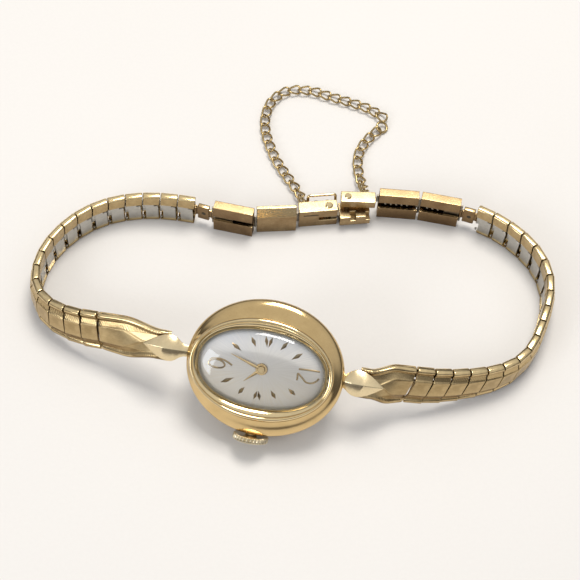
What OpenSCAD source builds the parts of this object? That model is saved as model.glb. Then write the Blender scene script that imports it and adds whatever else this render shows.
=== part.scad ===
// Hand-wound cocktail watch lying on its edge, with its link bracelet closed round behind it
// Millimetres. X runs to the right, Y away from the dial side, Z up from the table.

/* [Case] */
// Length of the case from 6 to 12 o'clock
case_length = 19.6; // [19.4:0.1:20.6]
// Width of the case from 9 to 3 o'clock
case_width = 16.9; // [16.7:0.1:17.6]
// Depth of the case body under the bezel
case_depth = 4.4; // [4.4:0.05:4.7]
// Depth of the widest part of the case under the bezel
girth_drop = 1.4; // [1.1:0.1:1.7]
// Length of the bezel
bezel_length = 17.9; // [17.9:0.1:18.5]
// Width of the bezel
bezel_width = 13.1; // [13.1:0.1:13.8]
// Height of the bezel crest above the top of the case
bezel_rise = 0.3; // [0.2:0.05:0.5]
// Length of the dial opening
opening_length = 15.5; // [15.2:0.1:16]
// Width of the dial opening
opening_width = 9.8; // [9.6:0.1:10.6]
// Height of the crystal's dome above the top of the case
crystal_rise = 0.9; // [0.7:0.1:1.5]
// Thickness of the crystal
crystal_wall = 0.35; // [0.25:0.05:0.45]
// Thickness of the case back
back_thick = 0.7; // [0.5:0.1:1]
// Angle that the dial leans back from upright plus the table's own
case_tilt = 38; // [36:1:40]
// Angle that the case is turned on the table
case_turn = 7; // [6:1:10]

/* [Lugs] */
// Distance from the centre of the dial to each bracelet hinge
lug_reach = 12.3; // [12:0.1:12.6]
// Distance of the hinge under the top of the case
hinge_drop = 2.75; // [2.6:0.05:3]
// Distance from the centre of the dial to a lug's tip
lug_tip = 14.8; // [14.2:0.1:15.4]
// Half width of a lug at its shoulders
lug_shoulder = 1.55; // [1.3:0.05:1.8]
// Radius of a spring bar
spring_bar_r = 0.34; // [0.25:0.01:0.38]

/* [Crown] */
// Radius of the winding crown
crown_r = 2.2; // [1.9:0.1:2.4]
// Thickness of the crown
crown_thick = 0.8; // [0.7:0.05:1]
// Flutes round the crown
crown_flutes = 28; // [20:2:36]
// Travel of the crown to its hand-setting place
crown_travel = 0.6; // [0.4:0.1:0.8]
// Radius of the winding stem
stem_r = 0.25; // [0.22:0.01:0.34]
// Distance of the stem under the top of the case
stem_drop = 2.1; // [2.05:0.05:2.15]

/* [Dial and hands] */
// Thickness of the dial
dial_thick = 0.3; // [0.2:0.05:0.35]
// Distance of the dial's face under the top of the case
dial_drop = 0.65; // [0.6:0.05:0.7]
// Length of the minute hand
minute_length = 4.1; // [3.6:0.1:4.4]
// Length of the hour hand
hour_length = 2.6; // [2.2:0.1:3]
// Minutes past the hour that the hands show
minutes_shown = 33; // [0:1:59]
// Hour that the hands show
hour_shown = 4; // [1:1:12]

/* [Movement] */
// Length of the movement's oval plate
plate_length = 16.6; // [16.2:0.1:16.9]
// Width of the movement's oval plate
plate_width = 12.2; // [11.8:0.1:12.5]
// Thickness of the main plate
plate_thick = 1; // [0.95:0.05:1]
// Outer radius of the barrel's teeth
barrel_r = 3.35; // [3.2:0.05:3.38]
// Outer radius of the centre wheel
centre_r = 1.7; // [1.6:0.05:1.72]
// Outer radius of the third wheel
third_r = 1.4; // [1.3:0.05:1.42]
// Outer radius of the fourth wheel
fourth_r = 1.25; // [1.15:0.05:1.27]
// Outer radius of the escape wheel
escape_r = 0.9; // [0.8:0.05:0.95]
// Outer radius of the balance rim
balance_r = 1.7; // [1.5:0.05:1.75]
// Radius of every train arbor
arbor_r = 0.12; // [0.1:0.01:0.14]

/* [Bracelet] */
// Distance from one link joint to the next
link_pitch = 2.35; // [2.32:0.01:2.38]
// Width of the band from edge to edge
band_width = 5.3; // [5:0.1:5.6]
// Thickness of the band
band_thick = 1.3; // [1.2:0.05:1.4]
// Gap between two links
link_gap = 0.12; // [0.1:0.01:0.16]
// Thickness of a link's folded cover
cover_wall = 0.25; // [0.2:0.01:0.28]
// Thickness of a link's inner plate
inner_plate = 0.3; // [0.2:0.02:0.34]
// Radius of a link's hinge wire
wire_r = 0.15; // [0.1:0.01:0.17]
// Links that the band needs to come down to the table, counted from the lug
lowering_links = 10.5; // [10:0.1:11]

/* [Clasp] */
// Length of the bars beside the clasp
bar_length = 5; // [4.8:0.05:5.05]
// Depth of those bars
bar_depth = 1.3; // [1.1:0.05:1.4]
// Height of the open bars
bar_height = 5.2; // [5:0.1:5.4]
// Sheet thickness of the bars
bar_wall = 0.32; // [0.25:0.01:0.35]
// Height of the snap block
block_height = 3.5; // [3.4:0.05:3.6]
// Depth of the snap block and of the catch block
block_depth = 1.7; // [1.6:0.05:1.8]
// Thickness of the catch block
catch_thick = 1.4; // [1.2:0.05:1.6]
// Height of the catch block's underside
catch_level = 3.2; // [3.15:0.05:3.3]
// Length of the snap plate outside its block
snap_length = 4.1; // [3.9:0.05:4.2]
// Radius of the wire that guards the clasp
guard_r = 0.2; // [0.15:0.01:0.24]

/* [Bar springs] */
// Radius of the wire of the springs in the bars
spring_wire_r = 0.13; // [0.1:0.01:0.15]
// Radius of those springs to the middle of their wire
spring_r = 0.36; // [0.32:0.01:0.38]
// Distance from one curl to the next
spring_pitch = 0.72; // [0.71:0.01:0.8]
// Curls of each spring
spring_curls = 5; // [3:1:5]

/* [Safety chain] */
// Radius of the chain's wire
chain_wire_r = 0.14; // [0.12:0.01:0.15]
// Outer length of a chain link
chain_link_length = 2.1; // [2.05:0.01:2.15]
// Outer width of a chain link
chain_link_width = 1.5; // [1.45:0.01:1.55]

/* [Hidden] */
$fn = 48;

// Smallest clearance between faces that never rub, and between a shaft and its hole
seat_gap = 0.02;
run_gap = 0.03;
mesh_gap = 0.05;
// Length by which a cut runs past the face that it opens
past = 1;

// Points round each oval section, and the roundness of the ovals
oval_steps = 56;
oval_power = 2.35;
case_power = 2.2;
opening_power = 2.2;

gold = [0.78, 0.62, 0.32];
bright_gold = [0.93, 0.85, 0.62];
steel = [0.72, 0.73, 0.75];
brass = [0.80, 0.68, 0.38];
blued = [0.25, 0.28, 0.40];
silver = [0.90, 0.90, 0.88];

// Levels of the movement, measured down from the top of the case
dial_back = dial_drop + dial_thick;
plate_top = 1.6;
plate_back = plate_top + plate_thick;
lower_level = plate_back + 0.05;
upper_level = plate_back + 0.62;
wheel_thick = 0.16;
bridge_front = plate_back + 0.9;
bridge_thick = 0.6;
bridge_back = bridge_front + bridge_thick;
winding_level = bridge_back + 0.03;
winding_thick = 0.22;
cavity_length = plate_length + 0.4;
cavity_width = plate_width + 0.4;
crown_seat = case_width / 2 + 0.04;

// Places of the arbors on the plate: X to 12 o'clock, Y to 9 o'clock
barrel_pinion_r = 0.8;
third_pinion_r = 0.5;
fourth_pinion_r = 0.4;
escape_pinion_r = 0.3;
centre_at = [0, 0];
barrel_at = [-(barrel_r + barrel_pinion_r + mesh_gap), 0];
third_at = centre_at + polar(centre_r + third_pinion_r + mesh_gap, 48);
fourth_at = third_at + polar(third_r + fourth_pinion_r + mesh_gap, -13.5);
escape_at = fourth_at + polar(fourth_r + escape_pinion_r + mesh_gap, -51);
pallet_at = [4.2, -1.2];
balance_at = [3.3, -2.9];
crown_wheel_at = [0, -3.06];
crown_wheel_r = 1.75;
ratchet_r = norm(crown_wheel_at - barrel_at) - crown_wheel_r - mesh_gap;
cannon_r = 0.55;
hour_wheel_r = 1.5;
minute_pinion_r = 0.3;
minute_wheel_r = hour_wheel_r + minute_pinion_r - cannon_r;
minute_at = polar(hour_wheel_r + minute_pinion_r + mesh_gap, 150);
left_feet = [[-5.5, 4], [-5.5, -4]];
right_feet = [[3.5, 4], [6.6, 1.3]];
cock_foot = [6.2, -2.9];
foot_r = 0.55;
screw_r = 0.2;
screw_head_r = 0.4;

// Place of the case on the table: the crown's rim rests on it
lug_offset = 0.25;
crown_lip = crown_seat + crown_thick;
case_height = crown_lip * sin(case_tilt) + (stem_drop + crown_r) * cos(case_tilt);
case_at = [-2.7, -23.55, case_height];

// Lay of the bracelet: where each half starts, its heading, and its turn at each joint in degrees
end_piece_links = 3.4;
lug_height = 7.3;
lowering_power = 1.6;
left_start = [-23.1, -17.9];
left_heading = 167;
left_turns = [6, 9, 15, 20, 20, 15, 12, 11, 9, 10, 10, 10, 8, 7, 6, 4];
right_start = [15.6, -22];
right_heading = 6;
right_turns = [5, 4, 3, 5, 10, 14, 14, 9, 3, 5, 11, 15, 14, 12, 10, 8, 8];

// Shift that brings the middle of the footprint to the origin
footprint_centre = [0.41, -2.33];

function polar(r, a) = [r * cos(a), r * sin(a)];
function unit(v) = v / norm(v);
function mix(a, b, t) = a * (1 - t) + b * t;
function clip(v, low, high) = min(max(v, low), high);

// Points of an oval of a given length and width
function oval(length, width, power = oval_power) = [
  for (i = [0 : oval_steps - 1])
    let (c = cos(360 * i / oval_steps), s = sin(360 * i / oval_steps))
      [length / 2 * sign(c) * pow(abs(c), 2 / power), width / 2 * sign(s) * pow(abs(s), 2 / power)]
];
function lift(points, z) = [for (p = points) [p.x, p.y, z]];

// Points of a toothed wheel
function teeth_points(teeth, tip, root) = [
  for (i = [0 : teeth - 1], k = [0 : 3])
    polar(k < 2 ? tip : root, 360 * (i + [0, 0.3, 0.5, 0.8][k]) / teeth)
];

// Points of a flat spiral strip from the inner radius to the outer
function spiral_points(inner, outer, turns, wall, steps) = let (n = turns * steps) concat(
  [for (i = [0 : n]) polar(mix(inner, outer, i / n), 360 * i / steps)],
  [for (i = [n : -1 : 0]) polar(mix(inner, outer, i / n) + wall, 360 * i / steps)]
);

// Solid skinned over a stack of closed sections, or over a closed ring of them
module skin(rings, closed = false) {
  n = len(rings[0]);
  m = len(rings);
  sides = [
    for (j = [0 : closed ? m - 1 : m - 2], i = [0 : n - 1])
      let (a = j * n + i, b = j * n + (i + 1) % n, up = ((j + 1) % m) * n)
        each [[a, up + i, up + (i + 1) % n], [a, up + (i + 1) % n, b]]
  ];
  ends = closed ? [] : [[for (i = [0 : n - 1]) i], [for (i = [n - 1 : -1 : 0]) (m - 1) * n + i]];
  polyhedron([for (ring = rings) each ring], concat(sides, ends));
}

// Moves its children from the watch's own axes onto the table
module on_table() {
  translate([-footprint_centre.x, -footprint_centre.y, 0]) children();
}

// Moves its children from the dial's axes, Z out of the dial and X to 12 o'clock, onto the table
module on_case() {
  on_table() translate(case_at) rotate([0, 0, -case_turn]) rotate([case_tilt, 0, 0]) children();
}

function turn_case(v) =
  let (a = [v.x, v.y * cos(case_tilt) - v.z * sin(case_tilt), v.y * sin(case_tilt) + v.z * cos(case_tilt)])
    [a.x * cos(case_turn) + a.y * sin(case_turn), a.y * cos(case_turn) - a.x * sin(case_turn), a.z];
function case_point(v) = case_at + turn_case(v);

// The bracelet's joints, from the lug to the clasp
function ramp(i) = pow(clip(1 - (i + end_piece_links) / lowering_links, 0, 1), lowering_power);
function joint_height(i) = band_width / 2 + (lug_height - band_width / 2) * ramp(i);
function joint_lean(i) = (90 - case_tilt) * ramp(i);
function headings(start, turns, side) = [
  for (i = 0, h = start; i <= len(turns); h = h + side * (i < len(turns) ? turns[i] : 0), i = i + 1) h
];
function joints(start, heading) = let (n = len(heading)) [
  for (i = 0, q = [start.x, start.y, joint_height(0)]; i <= n; q = next_joint(q, heading, i), i = i + 1) q
];
function next_joint(q, heading, i) =
  i >= len(heading) ? q :
  let (rise = joint_height(i + 1) - joint_height(i), run = sqrt(link_pitch * link_pitch - rise * rise))
    q + [run * cos(heading[i]), run * sin(heading[i]), rise];

left_headings = headings(left_heading, left_turns, -1);
right_headings = headings(right_heading, right_turns, 1);
left_joints = joints(left_start, left_headings);
right_joints = joints(right_start, right_headings);

// Direction of the band's width at a joint: up, and leaning inwards near the case
function width_axis(heading, side, lean) =
  [-side * sin(heading) * sin(lean), side * cos(heading) * sin(lean), cos(lean)];
function joint_axis(headings, side, i) =
  let (last = len(headings) - 1, h = (headings[max(i - 1, 0)] + headings[min(i, last)]) / 2)
    width_axis(h, side, joint_lean(i));

// Frame of a link: its origin at the joint on its left, X along the band, Y up its width, Z outwards
function link_frame(joints, headings, side, i) =
  let (
    x = unit(joints[i + 1] - joints[i]) * side,
    w = joint_axis(headings, side, i) + joint_axis(headings, side, i + 1),
    z = unit(cross(x, w)),
    y = cross(z, x),
    o = side > 0 ? joints[i] : joints[i + 1]
  ) [x, y, z, o];
module at_frame(f) {
  on_table() multmatrix([for (k = [0 : 2]) [f[0][k], f[1][k], f[2][k], f[3][k]]]) children();
}

// Outline of a link's section: rolled borders, sloping facets and a raised flat centre
function section_outline(half, t) = [
  [half, -t * 0.55], [half, t * 0.15], [half - 0.2, t * 0.58], [half - 0.5, t * 0.64],
  [half - 0.8, t * 0.38], [half * 0.47, t * 0.77], [half * 0.4, t],
  [-half * 0.4, t], [-half * 0.47, t * 0.77], [0.8 - half, t * 0.38],
  [0.5 - half, t * 0.64], [0.2 - half, t * 0.58], [-half, t * 0.15], [-half, -t * 0.55]
];
// The same section as a sheet, folded over both edges
fold = 0.85;
function cover_section(half, t, wall) = concat(
  [[half - fold, wall - t], [half - fold, -t], [half - 0.2, -t]],
  section_outline(half, t),
  [[0.2 - half, -t], [fold - half, -t], [fold - half, wall - t], [wall + 0.1 - half, wall - t]],
  [[wall - half, 0], [1 - half, t * 0.38 - wall], [-half * 0.45, t - wall - 0.1]],
  [[half * 0.45, t - wall - 0.1], [half - 1, t * 0.38 - wall], [half - wall, 0]],
  [[half - wall - 0.1, wall - t]]
);

// Face of a cut at a distance along a link: square to a direction, which is given along the link's own axes
function cut_face(x, n) = let (y = band_width / 2 + past, z = band_thick / 2 + past)
  [for (c = [[-y, -z], [y, -z], [y, z], [-y, z]]) [x - (n.y * c.x + n.z * c.y) / n.x, c.x, c.y]];

// One link: a folded cover between its two seams, its inner plate, and the hinge wire at its right joint
module link(left_seam, right_seam) {
  t = band_thick / 2;
  half = band_width / 2;
  g = link_gap / 2;
  color(gold) intersection() {
    translate([-past, 0, 0]) rotate([90, 0, 90])
      linear_extrude(link_pitch + 2 * past) polygon(cover_section(half, t, cover_wall));
    skin([cut_face(g, left_seam), cut_face(link_pitch - g, right_seam)]);
  }
  color(steel) inner_plate_of_link(t, half);
}
wire_length = band_width - 2.8;
wire_post = 1.4;
module inner_plate_of_link(t, half) {
  plate_low = cover_wall - t;
  side_in = half - cover_wall - 0.12;
  translate([link_pitch * 0.13, -side_in, plate_low]) cube([link_pitch * 0.74, 2 * side_in, inner_plate]);
  hinge_wire(plate_low);
}
module hinge_wire(plate_low) {
  translate([link_pitch * 0.8, -wire_post / 2, plate_low]) cube([link_pitch * 0.2, wire_post, inner_plate]);
  translate([link_pitch, 0, 0]) rotate([90, 0, 0]) cylinder(h = wire_length, r = wire_r, center = true);
  translate([link_pitch - wire_r, -wire_post / 2, plate_low]) cube([2 * wire_r, wire_post, -plate_low]);
}

// A seam lies half way between the directions of its two links
function seam(f, other) = let (n = unit(f[0] + other[0])) [n * f[0], n * f[1], n * f[2]];
function left_frame(i) = link_frame(left_joints, left_headings, -1, clip(i, 0, len(left_headings) - 1));
function right_frame(i) = link_frame(right_joints, right_headings, 1, clip(i, 0, len(right_headings) - 1));
module left_link(i) {
  at_frame(left_frame(i)) link(seam(left_frame(i), left_frame(i + 1)), seam(left_frame(i), left_frame(i - 1)));
}
module right_link(i) {
  at_frame(right_frame(i)) {
    link(seam(right_frame(i), right_frame(i - 1)), seam(right_frame(i), right_frame(i + 1)));
    if (i == 0) color(steel) translate([link_pitch, 0, 0]) mirror([1, 0, 0]) hinge_wire(cover_wall - band_thick / 2);
  }
}

// Pairs of links, counted from the watch; the last on the left is one link and its steel end link
module left_pair(k) {
  for (i = [2 * k - 2 : min(2 * k - 1, len(left_headings) - 1)]) left_link(i);
  if (k == 9) steel_end_link(left_end, left_bar_pin);
}
module right_pair(k) {
  for (i = [2 * k - 2 : 2 * k - 1]) right_link(i);
  if (k == 9) steel_end_link(right_bar_pin, right_end);
}

// Pins of the clasp's bars, on the table: each bar turns about the pin nearer its own lug
left_end = left_joints[len(left_joints) - 1];
right_end = right_joints[len(right_joints) - 1];
left_bar_heading = -8;
inner_bar_heading = 8;
block_heading = 10.5;
right_inner_heading = 0;
right_outer_heading = -7;
catch_heading = 3;
bar_gap = 0.32;
pin_step = bar_length + 2 * bar_gap;
left_bar_pin = left_end + [2.4, -0.55, 0];
left_middle_pin = left_bar_pin + along(left_bar_heading, pin_step, 0.5);
block_pin = left_middle_pin + along(inner_bar_heading, pin_step, 0.6);
right_bar_pin = right_end + [-2.4, 0.55, 0];
right_middle_pin = right_bar_pin - along(right_outer_heading, pin_step, 0);
catch_pin = right_middle_pin - along(right_inner_heading, pin_step, 0.2);
rivet_x = 4.25;
rivet_y = 0.45;
rivet_r = 0.3;
rivet_at = block_pin + along(block_heading, rivet_x, rivet_y);
function along(heading, x, y) = [x * cos(heading) - y * sin(heading), x * sin(heading) + y * cos(heading), 0];

// Moves its children to a pin: X along the clasp to the right, Y away from the viewer, Z from the table
module at_pin(pin, heading) {
  on_table() translate([pin.x, pin.y, 0]) rotate([0, 0, heading]) children();
}

pin_r = 0.16;
end_link_height = 3.4;
end_link_thick = 0.6;
module steel_end_link(from, to) {
  span = norm([to.x - from.x, to.y - from.y]);
  turn = atan2(to.y - from.y, to.x - from.x);
  eye = 0.36;
  mid = band_width / 2;
  color(steel) at_pin(from, turn) difference() {
    translate([0.35, -end_link_thick / 2, mid - end_link_height / 2])
      cube([span - 0.35 - eye - 0.08, end_link_thick, end_link_height]);
    translate([span / 2, 0, mid]) rotate([90, 0, 0]) cylinder(h = past, r = 0.45, center = true);
  }
}

// Spring curl by curl: one tube swept along a helix, straight for its ends
function helix_ring(x, a, r, wire, tilt) = [
  for (k = [0 : 5]) let (c = r + wire * cos(60 * k), s = wire * sin(60 * k))
    [x - s * cos(tilt), c * cos(a) - s * sin(tilt) * sin(a), c * sin(a) + s * sin(tilt) * cos(a)]
];
function spring_path(curls) = [for (i = [0 : curls * 8]) [spring_pitch * i / 8, 45 * i]];
module coil_spring(curls) {
  tilt = atan(spring_pitch / (2 * PI * spring_r));
  color(steel) skin([for (p = spring_path(curls)) helix_ring(p[0], p[1], spring_r, spring_wire_r, tilt)]);
}
function spring_centre(i) = [spring_pitch * i / 8, spring_r * cos(45 * i), spring_r * sin(45 * i)];
spring_room = min([
  for (i = [0 : 3], j = [i + 5 : i + 12]) norm(spring_centre(i) - spring_centre(j)) - 2 * spring_wire_r
]);
echo(least_gap_between_spring_curls = spring_room);

// Case body with its two lugs
function case_ring(length, width, z, power = case_power) = lift(oval(length, width, power), -z);
module case_shell() {
  l = case_length;
  w = case_width;
  edge_l = bezel_length;
  edge_w = bezel_width;
  inside = [[cavity_length, cavity_width, 0.12], [cavity_length, cavity_width, plate_back],
            [cavity_length - 0.5, cavity_width - 0.5, plate_back],
            [cavity_length - 0.5, cavity_width - 0.5, case_depth]];
  outside = [[l - 2, w - 2.8, case_depth], [l - 0.9, w - 1.3, case_depth - 0.9],
             [l - 0.1, w - 0.2, girth_drop + 0.8], [l, w, girth_drop],
             [mix(edge_l, l, 0.75), mix(edge_w, w, 0.86), girth_drop - 0.45],
             [mix(edge_l, l, 0.35), mix(edge_w, w, 0.45), girth_drop - 0.95], [edge_l, edge_w, 0.12]];
  rings = concat([for (s = outside) case_ring(s[0], s[1], s[2])], [for (s = inside) case_ring(s[0], s[1], s[2], oval_power)]);
  skin(rings, closed = true);
}

// Section of a lug: a ridged roof over a narrow underside
function lug_ring(x, half, ridge, under) = [
  for (p = [[half, 0], [half * 0.12, ridge], [-half * 0.12, ridge], [-half, 0],
            [-half * 0.6, -under], [half * 0.6, -under]])
    [x, p[0] + lug_offset, p[1] - girth_drop - 0.35]
];
module lug_hood() {
  neck = case_length / 2 - 0.35;
  skin([
    lug_ring(neck, 0.85, 0.3, 0.35), lug_ring(neck + 0.75, 0.9, 0.36, 0.35),
    lug_ring(neck + 1.5, lug_shoulder, 0.52, 0.35), lug_ring(mix(neck, lug_tip, 0.6), lug_shoulder * 0.8, 0.48, 0.3),
    lug_ring(lug_tip, 0.12, 0.1, 0.1)
  ]);
}
knuckle_r = 0.6;
knuckle_half = 0.85;
module lug() {
  lug_hood();
  translate([lug_reach, lug_offset, -hinge_drop]) {
    rotate([90, 0, 0]) cylinder(h = 2 * knuckle_half, r = knuckle_r, center = true);
    translate([-0.45, -knuckle_half, 0]) cube([0.9, 2 * knuckle_half, hinge_drop - girth_drop - 0.5]);
  }
}
module case_body() {
  color(gold) on_case() difference() {
    union() {
      case_shell();
      lug();
      translate([0, 2 * lug_offset, 0]) rotate([0, 0, 180]) lug();
      translate([0, -crown_seat + 0.9, -stem_drop]) rotate([90, 0, 0]) cylinder(h = 0.82, r = 0.75);
    }
    for (side = [-1, 1]) translate([side * lug_reach, lug_offset, -hinge_drop])
      rotate([90, 0, 0]) cylinder(h = 2 * knuckle_half + past, r = spring_bar_r + run_gap, center = true);
    translate([0, -crown_seat - past, -stem_drop]) rotate([-90, 0, 0])
      cylinder(h = 5, r = stem_r + run_gap);
  }
}

// Bezel: a crest all round, and a slope down to the crystal
module bezel() {
  seat = 0.12 - seat_gap;
  section = [
    [bezel_length, bezel_width, -seat], [bezel_length, bezel_width, 0.02],
    [bezel_length - 0.35, bezel_width - 0.35, bezel_rise * 0.8],
    [bezel_length - 0.65, bezel_width - 0.65, bezel_rise],
    [bezel_length - 0.95, bezel_width - 0.95, bezel_rise * 0.85],
    [opening_length + 0.25, opening_width + 0.25, -0.22],
    [opening_length, opening_width, -0.3], [opening_length, opening_width, seat_gap - dial_drop],
    [cavity_length - 0.1, cavity_width - 0.1, seat_gap - dial_drop],
    [cavity_length - 0.1, cavity_width - 0.1, -seat]
  ];
  color(bright_gold) on_case() skin([
    for (i = [0 : len(section) - 1]) let (s = section[i])
      lift(oval(s[0], s[1], i > 7 ? oval_power : i > 4 ? opening_power : case_power), s[2])
  ], closed = true);
}

// Domed crystal, hollow under its dome
module crystal() {
  l = opening_length - 2 * seat_gap;
  w = opening_width - 2 * seat_gap;
  c = crystal_wall;
  rim = 0.04 - dial_drop;
  dome = [[1, 0], [0.93, 0.3], [0.78, 0.6], [0.55, 0.84], [0.28, 0.97], [0.02, 1]];
  outside = [for (d = dome) lift(oval(l * d[0], w * d[0], opening_power), crystal_rise * d[1])];
  inside = [
    for (i = [len(dome) - 1 : -1 : 0]) let (d = dome[i])
      lift(oval((l - 2 * c) * d[0], (w - 2 * c) * d[0], opening_power), (crystal_rise - c) * d[1] - c * 0.1)
  ];
  color([0.8, 0.9, 1, 0.3]) on_case() difference() {
    skin(concat([lift(oval(l, w, opening_power), rim)], outside));
    skin(concat([lift(oval(l - 2 * c, w - 2 * c, opening_power), rim - past)],
                [for (i = [len(inside) - 1 : -1 : 0]) inside[i]]));
  }
}

module case_back() {
  l = case_length - 2.1;
  w = case_width - 2.9;
  d = case_depth + seat_gap;
  color(steel) on_case() skin([
    case_ring(l - 3.4, w - 3.4, d + back_thick), case_ring(l - 2, w - 2, d + back_thick - 0.05),
    case_ring(l - 0.5, w - 0.5, d + back_thick * 0.5), case_ring(l, w, d + 0.12), case_ring(l, w, d)
  ]);
}

dial_feet = [[-6.2, -2.6], [6, 3]];
dial_foot_r = 0.25;
module dial() {
  color(silver) on_case() {
    difference() {
      translate([0, 0, -dial_back]) linear_extrude(dial_thick) polygon(oval(plate_length, plate_width));
      translate([0, 0, -dial_back - past]) cylinder(h = dial_thick + 2 * past, r = 0.65);
    }
    for (f = dial_feet) bore(f, dial_foot_r, dial_back, plate_top + 0.5);
  }
}

// Movement

module arbor(at, low, high, r = arbor_r) {
  translate([at.x, at.y, -high]) cylinder(h = high - low, r = r);
}
module wheel(at, level, teeth, tip, thick = wheel_thick, depth = 0.12) {
  translate([at.x, at.y, -level - thick]) linear_extrude(thick) polygon(teeth_points(teeth, tip, tip - depth));
}
module bore(at, r, low = 0, high = 6) {
  translate([at.x, at.y, -high]) cylinder(h = high - low, r = r);
}

module main_plate() {
  pivots = [third_at, fourth_at, escape_at, pallet_at, balance_at];
  color(brass) on_case() difference() {
    translate([0, 0, -plate_back + seat_gap]) linear_extrude(plate_thick - seat_gap)
      polygon(oval(plate_length, plate_width));
    bore(centre_at, 0.3);
    bore(barrel_at, 0.4 + run_gap);
    for (p = pivots) bore(p, arbor_r + run_gap);
    bore(minute_at, arbor_r + run_gap);
    for (p = dial_feet) bore(p, dial_foot_r + run_gap);
    for (p = concat(left_feet, right_feet, [cock_foot])) bore(p, screw_r + run_gap);
    translate([0, -plate_width / 2 - past, -stem_drop]) rotate([-90, 0, 0])
      cylinder(h = plate_width / 2 + past - 3.2, r = stem_r + run_gap);
    translate([-1.05, -4.75, -plate_back - past]) cube([2.1, 1.05, plate_thick + 2 * past]);
  }
}

// A bridge: part of the plate's oval over the train, on round feet
module bridge(outline, feet) {
  difference() {
    union() {
      intersection() {
        translate([0, 0, -bridge_back]) linear_extrude(bridge_thick) polygon(oval(plate_length - 0.7, plate_width - 0.7));
        translate([0, 0, -bridge_back - past]) linear_extrude(bridge_thick + 2 * past) polygon(outline);
      }
      for (f = feet) bore(f, foot_r, plate_back, bridge_front + 0.1);
    }
    for (f = feet) bore(f, screw_r + run_gap);
  }
}
module barrel_bridge() {
  outline = [[-9, -8], [1.4, -8], [1.4, -1.7], [-0.9, -1.7], [-0.9, 8], [-9, 8]];
  color(brass) on_case() difference() {
    bridge(outline, left_feet);
    bore(barrel_at, 0.4 + run_gap);
    bore(crown_wheel_at, 1.2 + run_gap);
  }
}
module train_bridge() {
  outline = [[-0.8, -1.5], [9, -1.5], [9, 8], [-0.8, 8]];
  color(brass) on_case() difference() {
    bridge(outline, right_feet);
    for (p = [centre_at, third_at, fourth_at, escape_at, pallet_at]) bore(p, arbor_r + run_gap);
  }
}
module balance_cock() {
  arm = cock_foot.x - balance_at.x;
  front = bridge_front + 0.14;
  color(brass) on_case() difference() {
    union() {
      bore(balance_at, 0.7, front, bridge_back);
      translate([balance_at.x, balance_at.y - 0.5, -bridge_back]) cube([arm, 1, bridge_back - front]);
      bore(cock_foot, 0.75, front, bridge_back);
      bore(cock_foot, foot_r, plate_back, bridge_back);
    }
    bore(balance_at, arbor_r + run_gap);
    bore(cock_foot, screw_r + run_gap);
  }
}
module bridge_screws() {
  color(blued) on_case() for (p = concat(left_feet, right_feet, [cock_foot])) {
    bore(p, screw_r, plate_top + 0.3, bridge_back + 0.1);
    difference() {
      bore(p, screw_head_r, bridge_back, bridge_back + 0.22);
      translate([p.x - past / 2, p.y - 0.05, -bridge_back - 0.3]) cube([past, 0.1, 0.16]);
    }
  }
}

// The axis of the winding work points out through the crown
module at_stem(y) {
  on_case() translate([0, -y, -stem_drop]) rotate([90, 0, 0]) children();
}
winding_pinion_r = 0.9;
winding_pinion_in = 3.85;
winding_pinion_length = 0.65;
stem_hold = 0.2;
stem_seat = 0.1;
module winding_stem() {
  start = winding_pinion_in + winding_pinion_length - crown_travel - stem_hold;
  color(steel) at_stem(start) cylinder(h = crown_seat + stem_seat - start, r = stem_r);
}
module winding_pinion() {
  color(steel) at_stem(winding_pinion_in) difference() {
    linear_extrude(winding_pinion_length) polygon(teeth_points(14, winding_pinion_r, winding_pinion_r - 0.16));
    translate([0, 0, -past]) cylinder(h = 3, r = stem_r + run_gap);
  }
}
module crown() {
  color(bright_gold) at_stem(crown_seat) {
    difference() {
      union() {
        linear_extrude(crown_thick * 0.7) polygon(teeth_points(crown_flutes, crown_r, crown_r - 0.14));
        translate([0, 0, crown_thick * 0.7]) cylinder(h = crown_thick * 0.3, r1 = crown_r - 0.14, r2 = crown_r - 0.45);
      }
      translate([0, 0, -past]) cylinder(h = past + stem_seat, r = stem_r);
    }
  }
}

module crown_wheel() {
  color(steel) on_case() {
    wheel(crown_wheel_at, winding_level, 22, crown_wheel_r, winding_thick, 0.14);
    difference() {
      bore(crown_wheel_at, 1.15, stem_drop + winding_pinion_r + 0.08, winding_level);
      bore(crown_wheel_at, 0.85, 0, winding_level);
    }
  }
}
module ratchet_wheel() {
  color(steel) on_case() {
    wheel(barrel_at, winding_level, 42, ratchet_r, winding_thick, 0.14);
    bore(barrel_at, 0.4, upper_level + wheel_thick, winding_level);
  }
}
drum_r = barrel_r - 0.3;
drum_low = plate_back + 0.02;
drum_high = upper_level - 0.04;
module barrel() {
  color(brass) on_case() difference() {
    union() {
      wheel(barrel_at, drum_low, 60, barrel_r, 0.2);
      bore(barrel_at, drum_r, drum_low, drum_high);
    }
    bore(barrel_at, drum_r - 0.2, drum_low + 0.15, 6);
    bore(barrel_at, 0.42);
  }
}
module mainspring() {
  color(blued) on_case() translate([barrel_at.x, barrel_at.y, -drum_high]) linear_extrude(drum_high - drum_low - 0.17)
    polygon(spiral_points(0.75, drum_r - 0.4, 6, 0.14, 20));
}

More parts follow.
